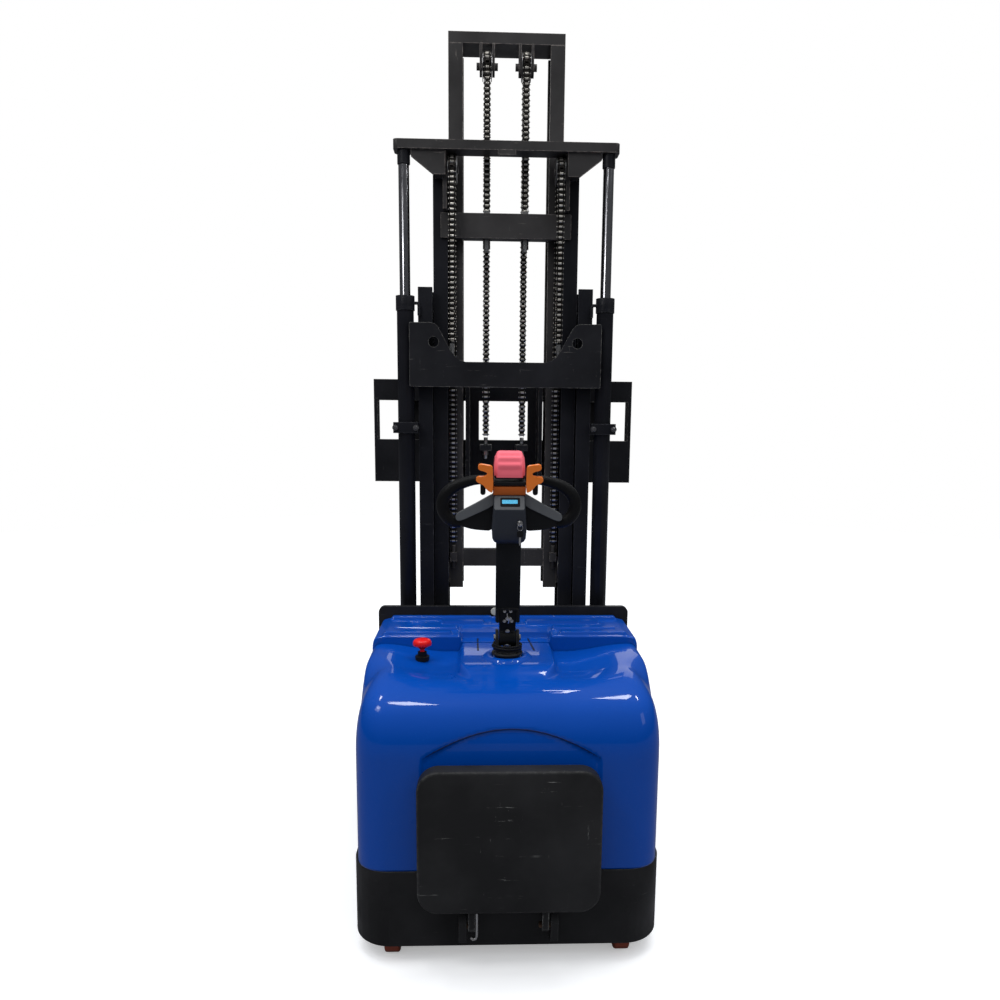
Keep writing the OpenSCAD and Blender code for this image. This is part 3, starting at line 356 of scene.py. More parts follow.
class Shape:
    """Gathers simple solids into one mesh object, each face with the number of its material."""

    def __init__(self, place=None):
        self.verts, self.faces, self.paints = [], [], []
        self.place = place or Matrix()

    def add(self, verts, faces, paint=0):
        start = len(self.verts)
        self.verts += [self.place @ Vector(v) for v in verts]
        self.faces += [[start + i for i in face] for face in faces]
        self.paints += [paint] * len(faces)

    def loft(self, rings, paint=0, caps=True):
        """Joins equal closed rings of points into one skin, with a face over each end."""
        n = len(rings[0])
        faces = [(i * n + k, i * n + (k + 1) % n, (i + 1) * n + (k + 1) % n, (i + 1) * n + k)
                 for i in range(len(rings) - 1) for k in range(n)]
        if caps:
            faces += [list(range(n))[::-1], list(range((len(rings) - 1) * n, len(rings) * n))]
        self.add([point for ring in rings for point in ring], faces, paint)

    def sheet(self, rows):
        """Joins equal rows of points into one open sheet of quads."""
        n = len(rows[0])
        faces = [(i * n + k, i * n + k + 1, (i + 1) * n + k + 1, (i + 1) * n + k)
                 for i in range(len(rows) - 1) for k in range(n - 1)]
        self.add([point for row in rows for point in row], faces)

    def prism(self, outline, low, high, axis="Z", paint=0):
        """A flat outline pushed along an axis from low to high. Its two numbers are the other two axes."""
        self.loft([[ALONG[axis](a, b, d) for a, b in outline] for d in (low, high)], paint)

    def box(self, low, high, paint=0):
        outline = [(low[0], low[1]), (high[0], low[1]), (high[0], high[1]), (low[0], high[1])]
        self.prism(outline, low[2], high[2], "Z", paint)

    def lathe(self, profile, centre, axis="Z", sides=40, paint=0):
        """A profile of (radius, height) points turned about an axis through centre."""
        turns = [k * math.tau / sides for k in range(sides)]
        centre = Vector(centre)
        rings = [[centre + Vector(ALONG[axis](r * math.cos(turn), r * math.sin(turn), h)) for turn in turns]
                 for r, h in profile]
        self.loft(rings, paint, profile[0] != profile[-1])

    def tube(self, points, radius, sides=14, paint=0):
        """A round tube along points. radius is one number, or one for each point."""
        points = [Vector(p) for p in points]
        radii = radius if isinstance(radius, list) else [radius] * len(points)
        turns = [k * math.tau / sides for k in range(sides)]
        rings, side = [], None
        for i, point in enumerate(points):
            ahead = (points[min(i + 1, len(points) - 1)] - points[max(i - 1, 0)]).normalized()
            if side is None:
                side = ahead.orthogonal().normalized()
            side = (side - ahead * side.dot(ahead)).normalized()
            other = ahead.cross(side)
            ring = [side * math.cos(turn) + other * math.sin(turn) for turn in turns]
            rings.append([point + out * radii[i] for out in ring])
        self.loft(rings, paint)

    def bolt(self, centre, axis="Y", r=0.009, height=0.006, towards=-1, paint=0):
        """A hexagon head on a washer, with a slightly domed face."""
        washer, washer_height = r * 1.35, 0.0016
        head = [(r, washer_height), (r, height * 0.85), (r * 0.86, height), (r * 0.5, height)]
        self.lathe([(washer, 0), (washer, towards * washer_height)], centre, axis, 24, paint)
        self.lathe([(radius, towards * h) for radius, h in head], centre, axis, 6, paint)

    def piece(self, name, materials, body, slot, bevel=0.0, replaces=(), thick=0.0, sharp=38, segments=2):
        """Makes the object and gives it its body. Where body is not a name, the object only keeps its place
        and gets no body. Its slot is not used.
        """
        mesh = bpy.data.meshes.new(name)
        mesh.from_pydata([tuple(v) for v in self.verts], [], self.faces)
        for material in materials:
            mesh.materials.append(material)
        mesh.polygons.foreach_set("material_index", self.paints)
        made = bmesh.new()
        made.from_mesh(mesh)
        bmesh.ops.remove_doubles(made, verts=made.verts, dist=2e-6)
        bmesh.ops.recalc_face_normals(made, faces=made.faces)
        made.to_mesh(mesh)
        made.free()
        mesh.polygons.foreach_set("use_smooth", [True] * len(mesh.polygons))
        mesh.set_sharp_from_angle(angle=math.radians(sharp))
        thing = bpy.data.objects.new(name, mesh)
        bpy.context.scene.collection.objects.link(thing)
        if thick:
            shell = thing.modifiers.new("Thickness", "SOLIDIFY")
            shell.thickness = thick
            shell.offset = -1
        if bevel:
            round_edges(thing, bevel, segments)
        if isinstance(body, str):
            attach(thing, body)
        else:
            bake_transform(thing)
        if replaces:
            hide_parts(*replaces)
        return thing


def round_edges(thing, width, segments=2):
    bevel = thing.modifiers.new("Edges", "BEVEL")
    bevel.width = width
    bevel.segments = segments
    bevel.limit_method = "ANGLE"
    bevel.angle_limit = math.radians(32)
    bevel.harden_normals = True
    bevel.use_clamp_overlap = True


def rounded(half_x, half_z, r, steps=8, centre=(0, 0)):
    """The outline of a rectangle with round corners, as flat points."""
    points = []
    for quarter, (sx, sz) in enumerate(((1, 1), (-1, 1), (-1, -1), (1, -1))):
        for k in range(steps + 1):
            turn = (quarter + k / steps) * math.pi / 2
            points.append((centre[0] + sx * (half_x - r) + r * math.cos(turn),
                           centre[1] + sz * (half_z - r) + r * math.sin(turn)))
    return points


def eased(points):
    """An outline with each corner cut twice, so that it runs as a soft curve."""
    for _ in range(2):
        pairs = list(zip(points, points[1:] + points[:1]))
        points = [(a[0] * near + b[0] * (1 - near), a[1] * near + b[1] * (1 - near))
                  for a, b in pairs for near in (0.75, 0.25)]
    return points


def curve(points, steps):
    """A smooth curve through flat points, with steps pieces to each gap."""
    out = []
    for i in range(len(points) - 1):
        a, b, c, d = [points[max(0, min(len(points) - 1, i + s))] for s in (-1, 0, 1, 2)]
        for t in [k / steps for k in range(steps)]:
            out.append(0.5 * (2 * b + (c - a) * t + (2 * a - 5 * b + 4 * c - d) * t ** 2
                              + (3 * b - a - 3 * c + d) * t ** 3))
    return out + [points[-1]]


# ---------- CAD nodes that keep their shape ----------

def dress(material, bevel, *nodes):
    """Gives CAD nodes their finish and rounds their edges."""
    for node in nodes:
        thing = frame["nodes"][node]
        thing.data.materials.clear()
        thing.data.materials.append(material)
        weld = thing.modifiers.new("Weld", "WELD")
        weld.merge_threshold = 1e-5
        round_edges(thing, bevel)


def both(name):
    return name + "_left", name + "_right"


def dress_frame():
    dress(MAST, 0.004, *both("outer_upright"), *both("mid_upright"))
    # The inner stage, crosshead and bars take the lighter paint, which is partly painted light.
    dress(RUBBED_AND_LIT, 0.004, *both("inner_upright"))
    dress(PLATE, 0.0025, "outer_tie_plate")
    dress(RUBBED_AND_LIT, 0.0025, "crosshead", "mid_crossbars", "inner_top_bar", "inner_lower_bar")
    dress(PLATE, 0.002, "carriage_frame")
    dress(MAST, 0.002, "cylinder_clamps", "lift_cylinders")
    dress(BLACK, 0.003, "bulkhead_plate", "base_frame", *both("outrigger"), *both("fork"))
    dress(BLACK, 0.0015, "chassis_skirt", "chassis_frame", *both("caster_fork"))
    dress(CHROME, 0.0008, "cylinder_rods")
    dress(ROLLER, 0.0012, "outer_top_rollers", "mid_bottom_rollers", "mid_top_rollers",
          "inner_bottom_rollers", "carriage_rollers_upper", "carriage_rollers_lower",
          "sheaves_a", "sheaves_b")
    dress(ZINC, 0.0006, "chain_a_anchors", "chain_b_anchors", "carriage_chain_rods")
    dress(CAST, 0.003, "power_unit", "drive_unit")
    dress(BLACK_PLASTIC, 0.004, "battery_pack")


# ---------- moulded covers ----------

BACK = 0.003
SEAM = 0.405
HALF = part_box("drive_cover")[1].x
TOP = 0.756
SHOULDER = 0.205
CORNER = 0.092
LEDGE = 0.688
PAD_Z = TOP + 0.003
ARCH_MIDDLE = 0.006
# Less than 1 makes a shoulder fuller than an ellipse, and eases it into the flats it joins.
FULL = 0.76
EASED = 0.83
SIDE_STEPS, TURN_STEPS, TOP_STEPS = 60, 20, 184


def section(half, top, rx, rz, grow, floor, side_y, middle_y):
    """One cross-section, from the left foot over the top to the right foot. grow swells its corners,
    and round them y goes from side_y to middle_y, so that a section can bow."""
    flat, crown = half - rx, top - rz
    foot = [(-flat - rx * grow, 0, floor + (crown - floor) * k / SIDE_STEPS) for k in range(SIDE_STEPS)]
    turn = []
    for k in range(TURN_STEPS):
        a = k * math.pi / 2 / TURN_STEPS
        x = -flat - rx * grow * math.cos(a) ** FULL
        turn.append((x, k / TURN_STEPS, crown + rz * grow * math.sin(a) ** FULL))
    across = [(-flat + 2 * flat * k / TOP_STEPS, 1, crown + rz * grow) for k in range(TOP_STEPS // 2 + 1)]
    left = [(x, side_y + (middle_y - side_y) * smooth(share, 0, 1), z)
            for x, share, z in foot + turn + across]
    return left + [(-x, y, z) for x, y, z in left[-2::-1]]


def skin_rows(shape, rows):
    """A sheet through rows of points that have y counted from the body's rear face."""
    shape.sheet([[from_rear(*point) for point in row] for row in rows])


def arch_top(x):
    """The height of the arched panel's upper edge."""
    return 0.643 - 1.43 * (x - ARCH_MIDDLE) ** 2


def arch(x, z):
    """How far the rear face is set back inside its arched panel."""
    inside = smooth(arch_top(x) - z, -0.002, 0.004) * (1 - smooth(abs(x - ARCH_MIDDLE), 0.224, 0.234))
    return 0.0045 * inside


def hood_relief(x, y, z):
    """The height of the hood's top: a pad round the tiller, and a valley on each side of it."""
    side = abs(x)
    half_pad = 0.132 - 0.040 * (1 - smooth(y, 0.11, 0.21))
    pad = (1 - smooth(side, half_pad - 0.004, half_pad + 0.012)) * smooth(y, 0.120, 0.175)
    valley = (1 - smooth(side, 0.175, 0.365)) * smooth(y, 0.075, 0.235)
    crown = 0.008 * (1 - smooth(y, 0.10, 0.38))
    return z - crown * (1 - pad * smooth(y, 0.15, 0.21)) - 0.023 * valley * (1 - pad) + 0.003 * pad


def make_hood():
    """The drive cover: upright rear face, wide round shoulder, level top, and sides beside the battery."""
    shape = Shape()
    rows = []
    back_steps, run_steps, wall_steps = 44, 60, 23
    for i in range(back_steps + 1):
        turn = i / back_steps * math.pi / 2
        out = 1 - max(0.0, math.cos(turn)) ** EASED
        rows.append(section(HALF, TOP, CORNER, SHOULDER, math.sin(turn) ** EASED, SKIRT_TOP,
                            BACK + CORNER * out, BACK + SHOULDER * out))
    for i in range(1, run_steps + 1):
        t = i / run_steps
        side_y, middle_y = [start * (1 - t) + SEAM * t for start in (BACK + CORNER, BACK + SHOULDER)]
        late = smooth(t, 0, 0.6)
        rows.append(section(HALF, TOP, CORNER - 0.058 * late, SHOULDER - 0.159 * late, 1, SKIRT_TOP,
                            side_y, middle_y))
    shaped = []
    for row in rows:
        points = []
        for x, y, z in row:
            z += (hood_relief(x, y, z) - z) * smooth(z, 0.675, 0.742)
            y += arch(x, z) * (1 - smooth(y, 0.04, 0.09))
            points.append((x, y, z))
        shaped.append(points)
    lip = [(x * 0.985, y + 0.001, z - 0.014 if z > LEDGE else z) for x, y, z in shaped[-1]]
    skin_rows(shape, shaped + [lip])
    flat, crown = HALF - CORNER, TOP - SHOULDER
    face = []
    for k in range(SIDE_STEPS + 1):
        z = SKIRT_TOP + (crown - SKIRT_TOP) * k / SIDE_STEPS
        xs = [-flat + 2 * flat * j / TOP_STEPS for j in range(TOP_STEPS + 1)]
        face.append([(x, BACK + arch(x, z), z) for x in xs])
    skin_rows(shape, face)
    edge = [(0, SKIRT_TOP), (0, 0.5), (0, LEDGE - 0.012), (0.003, LEDGE - 0.003), (0.012, LEDGE),
            (0.05, LEDGE)]
    reach = BODY_LENGTH - SEAM - 0.004
    for side in (-1, 1):
        skin_rows(shape, [[(side * (HALF - inset), SEAM + reach * i / wall_steps, z) for inset, z in edge]
                          for i in range(wall_steps + 1)])
    shape.piece("hood", [BLUE], "chassis", "blue_shell", thick=0.004, replaces=("drive_cover",), sharp=50)


def make_arch_shadow_line():
    """A dark tube along the arched panel's upper edge, on the rear face and the shoulder: painted shadow
    that stands for the fine groove there.
    """
    points = []
    steps = 80
    for i in range(steps + 1):
        x = ARCH_MIDDLE + 0.228 * (2 * i / steps - 1)
        z = arch_top(x)
        rise = max(0.0, (z - TOP + SHOULDER) / SHOULDER) ** (1 / EASED)
        set_back = SHOULDER * (1 - math.sqrt(1 - rise ** 2) ** EASED)
        points.append(from_rear(x, BACK + set_back + 0.0012, z))
    radii = [0.0004 + 0.0014 * plateau(i, 8, steps - 8, 8) for i in range(steps + 1)]
    shape = Shape()
    shape.tube(points, radii, 8)
    shape.piece("arch_shadow_line", [GROOVE_SHADOW], "chassis", "blue_shell", sharp=60)


def make_boss():
    """The raised ring on the pad, and black strips in the seams beside it that run on into the battery
    cover: painted shadow of the seam gaps.
    """
    shape = Shape()
    ring = [(0.072, -0.003), (0.070, 0.0005), (0.067, 0.0025), (0.064, 0.006), (0.060, 0.0082),
            (0.054, 0.009), (0.048, 0.0082), (0.045, 0.006), (0.042, 0.003), (0.038, -0.006)]
    shape.lathe(ring, (0, STEER_Y, PAD_Z), "Z", 72)
    shape.piece("boss", [BLUE], "chassis", "blue_shell", sharp=60)
    pad_start, half = 0.325, 0.0024
    # Black strips stand for the dark seam gaps: painted shadow.
    for name, body, start, end in (("pad_seam_shadows", "chassis", pad_start, 0.402),
                                   ("notch_seam_shadows", "battery_lid", 0.411, 0.453)):
        seam_shadows = Shape()
        for x, lean in ((-0.083, 0.016), (0.081, 0.094)):
            corners = ((start, -half), (start, half), (end, half), (end, -half))
            outline = [from_rear(x - lean * (y - pad_start) + across, y, 0)[:2] for y, across in corners]
            seam_shadows.prism(outline, PAD_Z - 0.004, PAD_Z + 0.0006)
        seam_shadows.piece(name, [BLACK_PLASTIC], body, "black_plastic")


def lid_relief(x, y, top):
    """The height of the battery cover's top: bars along X, a round recess, troughs and the notch."""
    side = abs(x)
    front_bar = plateau(side, 0.168, 0.366, 0.005) * plateau(y, 0.418, 0.445, 0.004)
    second_bar = plateau(side, 0.150, 0.340, 0.005) * plateau(y, 0.471, 0.499, 0.004)
    ridge = plateau(side, 0.070, 0.300, 0.006) * plateau(y, 0.546, 0.574, 0.004) * (1 if x > -0.2 else 0)
    rail = plateau(side, 0.0, 0.362, 0.006) * plateau(y, 0.605, 0.623, 0.004)
    z = top - 0.009 + 0.0095 * max(front_bar, second_bar, ridge, rail)
    z -= 0.007 * (1 - smooth(math.hypot(x + 0.286, y - 0.556), 0.024, 0.031))
    z -= 0.004 * plateau(side, 0.0, 0.132, 0.008) * plateau(y, 0.40, 0.530, 0.006)
    z -= 0.004 * plateau(side, 0.0, 0.040, 0.006) * smooth(y, 0.538, 0.548)
    notch = (1 - smooth(side, 0.134, 0.139)) * (1 - smooth(y, 0.456, 0.461))
    return z + (PAD_Z - z) * notch


def make_lid():
    """The lift-off battery cover."""
    shape = Shape()
    low, high, floor = 0.408, 0.637, 0.690
    top, rx, rz, edge = 0.790, 0.050, 0.056, 0.009
    run_steps = 95
    quarter = [i / 8 * math.pi / 2 for i in range(9)]
    steps = [(low + edge * (1 - math.cos(a)), edge * (1 - math.sin(a))) for a in quarter]
    steps += [(low + edge + (high - low - 2 * edge) * i / run_steps, 0) for i in range(1, run_steps)]
    steps += [(high - edge * (1 - math.cos(a)), edge * (1 - math.sin(a))) for a in quarter[::-1]]
    shaped = []
    for y, drop in steps:
        row = section(HALF - drop, top - drop, rx, rz, 1, floor, y, y)
        shaped.append([(x, y, z + (lid_relief(x, y, top) - top) * smooth(z, top - 0.02, top - 0.002))
                       for x, y, z in row])
    skin_rows(shape, shaped)
    for end in (shaped[0], shaped[-1]):
        skin_rows(shape, [end, [(x, y, min(z, floor)) for x, y, z in end]])
    shape.piece("battery_lid_shell", [BLUE], "battery_lid", "blue_shell", replaces=("battery_cover",),
                sharp=55)


def make_stop_button():
    """The emergency stop: a fluted red mushroom on a stem over a black collar."""
    low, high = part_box("estop_knob")
    x, y, top = (low.x + high.x) / 2, (low.y + high.y) / 2, high.z
    knob = Shape()
    cap = [(0.0068, -0.046), (0.0068, -0.030), (0.0110, -0.029), (0.0150, -0.0260), (0.0205, -0.0225),
           (0.0250, -0.0190), (0.0262, -0.0130), (0.0255, -0.0080), (0.0225, -0.0038), (0.0165, -0.0014),
           (0.0085, -0.0002), (0.0020, 0.0)]
    knob.lathe(cap, (x, y, top), "Z", 48)
    for k in range(20):
        turn = k * math.tau / 20
        knob.lathe([(0.0020, -0.0195), (0.0026, -0.0150), (0.0022, -0.0100)],
                   (x + 0.0243 * math.cos(turn), y + 0.0243 * math.sin(turn), top), "Z", 8)
    knob.piece("stop_knob", [RED], "estop_button", "red_plastic", replaces=("estop_knob",), sharp=50)
    base = Shape()
    ring = [(0.0075, -0.026), (0.0205, -0.026), (0.0205, -0.0135), (0.0190, -0.0125), (0.0135, -0.0120),
            (0.0130, -0.001), (0.0115, 0.0), (0.0080, 0.0), (0.0075, -0.004), (0.0075, -0.026)]
    base.lathe(ring, (x, y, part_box("estop_base")[1].z), "Z", 40)
    base.piece("stop_collar", [BLACK_PLASTIC], "chassis", "black_plastic", replaces=("estop_base",),
               sharp=50)


# ---------- platform ----------

def make_platform():
    """The folded platform: a rounded tray with a bevelled rim, its mat, hinge arms, pins and lock rod."""
    low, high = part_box("platform_deck")
    hinge = Vector(JOINTS["platform_fold"]["pos_m"])
    back = low.y
    front = back + 0.048
    bottom, top = hinge.z + 0.054, high.z - 0.008
    half, tall = high.x, (top - bottom) / 2
    middle = (bottom + top) / 2
    shape = Shape()
    # How far each ring of the tray lies in front of its back, and inside its outline.
    levels = [(0.0, 0.0065), (0.0011, 0.0030), (0.0032, 0.0009), (0.0062, 0.0), (0.042, 0.0),
              (0.046, 0.0015), (0.048, 0.0045), (0.048, 0.022)]
    corner = 0.054
    rings = []
    for depth, inset in levels:
        outline = rounded(half - inset, tall - inset, corner - inset * 0.8, 10, (0, middle))
        rings.append([(x, back + depth, z) for x, z in outline])
    tray = rounded(half - 0.024, tall - 0.024, 0.032, 10, (0, middle))
    rings.append([(x, front - 0.002, z) for x, z in tray])
    rings.append([(x, back + 0.020, z) for x, z in tray])
    shape.loft(rings)
    arm = [(-0.014, -0.006), (-0.008, -0.014), (0.008, -0.014), (0.014, -0.006), (0.014, 0.05),
           (0.004, 0.09), (-0.014, 0.09)]
    for side in (-1, 1):
        shape.prism([(hinge.y + y, hinge.z + z) for y, z in arm], side * 0.086, side * 0.104, "X")
    shape.piece("platform_shell", [DECK], "platform", "platform_paint", 0.0012, ("platform_deck",), sharp=40)
    mat = Shape()
    mat.prism([(x * 0.985, middle + (z - middle) * 0.985) for x, z in tray], back + 0.020, back + 0.026, "Y")
    for k in range(-9, 10):
        z = middle + k * 0.0165
        mat.box((-half + 0.036, back + 0.026, z - 0.0035), (half - 0.036, back + 0.0285, z + 0.0035))
    mat.piece("platform_mat", [GRIP], "platform", "grip_rubber", 0.0008)
    pins = Shape()
    for side in (-1, 1):
        pin = [(0.0062, 0.078), (0.0078, 0.079), (0.0078, 0.1285), (0.0060, 0.129)]
        pins.lathe([(r, side * x) for r, x in pin], (0, hinge.y, hinge.z), "X", 28, 1)
    foot = Vector((-0.0815, hinge.y - 0.0175, hinge.z))
    rod = [(0, 0, 0.045), (0, 0, 0.01), (0, -0.001, -0.018), (-0.003, 0, -0.026), (-0.010, 0, -0.028),
           (-0.016, 0, -0.022)]
    pins.tube([foot + Vector(point) for point in rod], 0.0032, 12)
    pins.piece("platform_pins", [ZINC, RUST], "platform", "bright_steel", sharp=45)


# ---------- tiller ----------

def tiller_shape():
    return Shape(ON_TILLER @ Matrix.Scale(MM, 4))


def make_tiller_base():
    """The turning post with its clevis, linkage plates and bright screws."""
    shape = Shape(Matrix.Translation((0, STEER_Y, 0)) @ Matrix.Scale(MM, 4))
    post = [(34, 696), (34, 768), (42, 768.3), (44, 770), (44, 774), (42, 776), (20, 776)]
    shape.lathe(post, (0, 0, 0), "Z", 48)
    cheek = [(-24, 775), (24, 775), (24, 812)]
    cheek += [(24 * math.cos(k * math.pi / 12), 815 + 24 * math.sin(k * math.pi / 12)) for k in range(13)]
    for side in (-1, 1):
        shape.prism(cheek, side * 24.5, side * 33.5, "X")
    shape.piece("tiller_post", [BLACK], "steering", "black_paint", 0.0012, ("tiller_base",))
    screws = Shape(Matrix.Translation((0, STEER_Y, 0)) @ Matrix.Scale(MM, 4))
    for side in (-1, 1):
        screws.bolt((side * 33.5, 0, 815), "X", 9, 5, side)
    screws.piece("tiller_pivot_bolts", [ZINC], "steering", "bright_steel", sharp=30)


def make_cable_winding():
    """The cable wound three times round the post. Both its ends go down into the post's flange."""
    radius, turns, steps = 0.0032, 3, 36
    points = [(-0.008, STEER_Y + 0.034, 0.772), (-0.005, STEER_Y + 0.0355, 0.777)]
    for i in range(turns * steps + 1):
        a = math.pi / 2 - i / steps * math.tau
        lap = i / steps
        r = 0.0385 + 0.0016 * math.sin(a * 0.5) + 0.0006 * lap
        z = 0.7800 + 2 * radius * lap + 0.0006 * math.sin(a * 1.3)
        points.append((r * math.cos(a), STEER_Y + r * math.sin(a) * 0.95, z))
    points += [(0.006, STEER_Y + 0.033, 0.798), (0.008, STEER_Y + 0.029, 0.790),
               (0.008, STEER_Y + 0.027, 0.772)]
    shape = Shape()
    shape.tube(points, radius, 12)
    shape.piece("cable_winding", [CABLE], "steering", "grip_rubber", sharp=60)


def make_tiller_column():
    """The column: a pressed box over a narrow neck, with the linkage and its screws at the foot."""
    shape = tiller_shape()
    shape.lathe([(22, -23.3), (23.5, -22), (23.5, 22), (22, 23.3)], (0, 0, 0), "X", 40)
    shape.prism(rounded(23.3, 12.7, 4, 3, (0, 4.8)), 6, 70, "Z")
    shape.prism(rounded(34, 20, 6, 4), 54, 288, "Z")
    for side in (-1, 1):
        shape.prism([(-26, 56), (-19, 53), (-19, 96), (-23, 96), (-26, 88)], side * 25, side * 31, "X")
    shape.box((-25, -23.5, 92), (25, -19, 97))
    shape.piece("tiller_column_shell", [COLUMN], "tiller", "black_paint", 0.0012, ("tiller_column",))
    bits = tiller_shape()
    for x, z, r in ((-9, 88, 3.2), (8, 88, 3.2), (0, 66, 4.4), (6, 66, 4.0), (-9, 59, 3.6), (11, 59, 3.6)):
        bits.bolt((x, -21, z), "Y", r, 5, -1)
    bits.tube([(-2, -24, 84), (-1, -26, 74), (3, -25, 62), (2, -24, 54)], 1.6, 8)
    bits.lathe([(6.5, -7), (6.5, -10), (4.5, -11.4), (1, -12)], (0, 0, 22), "Y", 20)
    bits.bolt((-1, -18, -18), "Y", 8, 6, -1)
    bits.piece("tiller_linkage_screws", [ZINC], "tiller", "bright_steel", sharp=30)


def make_head():
    """The head: grey housing with a sloping top that holds the screen, over a chamfered front."""
    shape = tiller_shape()
    # Rings of (half width, y front, y back, z) from the foot to the top.
    rings = [(33, -30, 20, 288), (41, -40, 26, 296), (45, -46, 32, 306), (46.5, -48.5, 40, 330),
             (43.5, -51, 48, 372), (42.5, -52, 50, 386)]
    chamfer = 5
    outlines = []
    for half, y0, y1, z in rings:
        inset = half - chamfer
        outlines.append([(-half, y0 + chamfer, z), (-inset, y0, z), (inset, y0, z), (half, y0 + chamfer, z),
                         (half, y1, z), (-half, y1, z)])
    top = [(-42, -21, 421), (-38, -24, 421), (38, -24, 421), (42, -21, 421), (42, 50, 421), (-42, 50, 421)]
    shape.loft(outlines + [top])
    shape.piece("head_housing", [GREY_PLASTIC], "tiller", "grey_plastic", 0.0022, ("tiller_head",),
                segments=3)
    slope = Vector((0, 28, 35)).normalized()
    out = Vector((0, -35, 28)).normalized()
    middle = Vector((0, -38, 403.5))
    plate = Matrix.Translation(middle) @ Matrix((Vector((1, 0, 0)), slope, -out)).transposed().to_4x4()
    panel, bezel = rounded(40, 20.5, 5, 5), rounded(26, 13, 3, 4, (2, 1))
    glass = rounded(20.5, 5.6, 1, 2, (1, 2))
    layers = (("head_panel", LIGHT_GREY, "grey_plastic", panel, -1.0, 0.8, 0.0008),
              ("screen_bezel", BLACK_PLASTIC, "black_plastic", bezel, -2.0, 0.2, 0.0006),
              ("screen_glass", SCREEN, "black_plastic", glass, -2.3, -1.0, 0.0003))
    for name, material, slot, outline, low, high, bevel in layers:
        layer = Shape(ON_TILLER @ Matrix.Scale(MM, 4) @ plate)
        layer.prism(outline, low, high, "Z")
        layer.piece(name, [material], "tiller", slot, bevel)
    # The collar under the band faces down, so it takes the darker orange as painted shade.
    neck = tiller_shape()
    neck.prism([(-27, 421), (-30, 426), (-31, 444), (-29, 447), (46, 447), (48, 421)], -43.5, 43.5, "X")
    neck.piece("head_collar", [SHADED_ORANGE], "tiller", "orange_plastic", 0.0022, segments=3)
    band = tiller_shape()
    band.prism([(-30, 447), (-33, 449), (-34, 456), (-31, 459), (50, 459), (50, 447)], -42, 43.5, "X")
    band.piece("head_band", [BLACK_PLASTIC], "tiller", "black_plastic", 0.0018, segments=3)


def make_belly_pad():
    """The reversing button: a soft moulded block with a round crown and shallow ribs across it."""
    shape = tiller_shape()
    rows = []
    across, along = 30, 44
    foot = Vector((0, 8, 470))
    half_depth, height, half_width = 41.5, 62, 41
    # The profile runs from the front foot over the crown to the back foot.
    for i in range(along + 1):
        a = math.pi * (-0.04 + 1.08 * i / along)
        y = -half_depth * math.cos(a)
        z = height * abs(math.sin(max(0.0, min(math.pi, a)))) ** 0.72
        rib = 2.0 * math.sin(i * math.tau / 5.5) * plateau(i, 5, 24, 3)
        row = []
        for k in range(across + 1):
            u = -1 + 2 * k / across
            x = half_width * math.copysign(min(1.0, abs(u) ** 0.85), u) * (1 - 0.04 * smooth(z, 30, height))
            fall = 14 * smooth(abs(u), 0.70, 1.0) ** 1.7
            out = Vector((0, y, z))
            out *= (out.length + rib * (1 - smooth(abs(u), 0.55, 0.8)) - fall) / out.length
            row.append(Vector((x, 0, 0)) + foot + out)
        rows.append(row)
    shape.sheet(rows)
    shape.piece("belly_pad_cover", [PINK], "belly_pad", "pink_rubber", replaces=("belly_button",),
                thick=0.003, sharp=80)
    base = tiller_shape()
    base.prism(rounded(40, 38, 8, 5, (0, 8)), 466, 474, "Z")
    base.prism(rounded(37, 32, 8, 5, (0, 8)), 474, 496, "Z")
    base.piece("belly_pad_base", [BLACK_PLASTIC], "belly_pad", "black_plastic", 0.001)


def make_wings():
    """The travel control: two orange butterfly wings, and a collar on each side of the band."""
    shape = tiller_shape()
    wing = [(-43, 430), (-52, 432), (-63, 441), (-69, 451), (-86, 458), (-89, 466), (-85, 473), (-70, 473),
            (-61, 476), (-58, 482), (-66, 487), (-80, 490), (-84, 498), (-80, 507), (-60, 504), (-47, 502),
            (-44, 494)]
    collar = [(8, 44.2), (8.5, 45), (8.5, 55), (7, 56)]
    for side in (1, -1):
        shape.prism([(side * x, z) for x, z in eased(wing)], -39, -25, "Y")
        shape.lathe([(r, side * x) for r, x in collar], (0, -26, 446), "X", 24)
    shape.piece("wings", [ORANGE], "throttle", "orange_plastic", 0.003, ("throttle_wings",), segments=4)


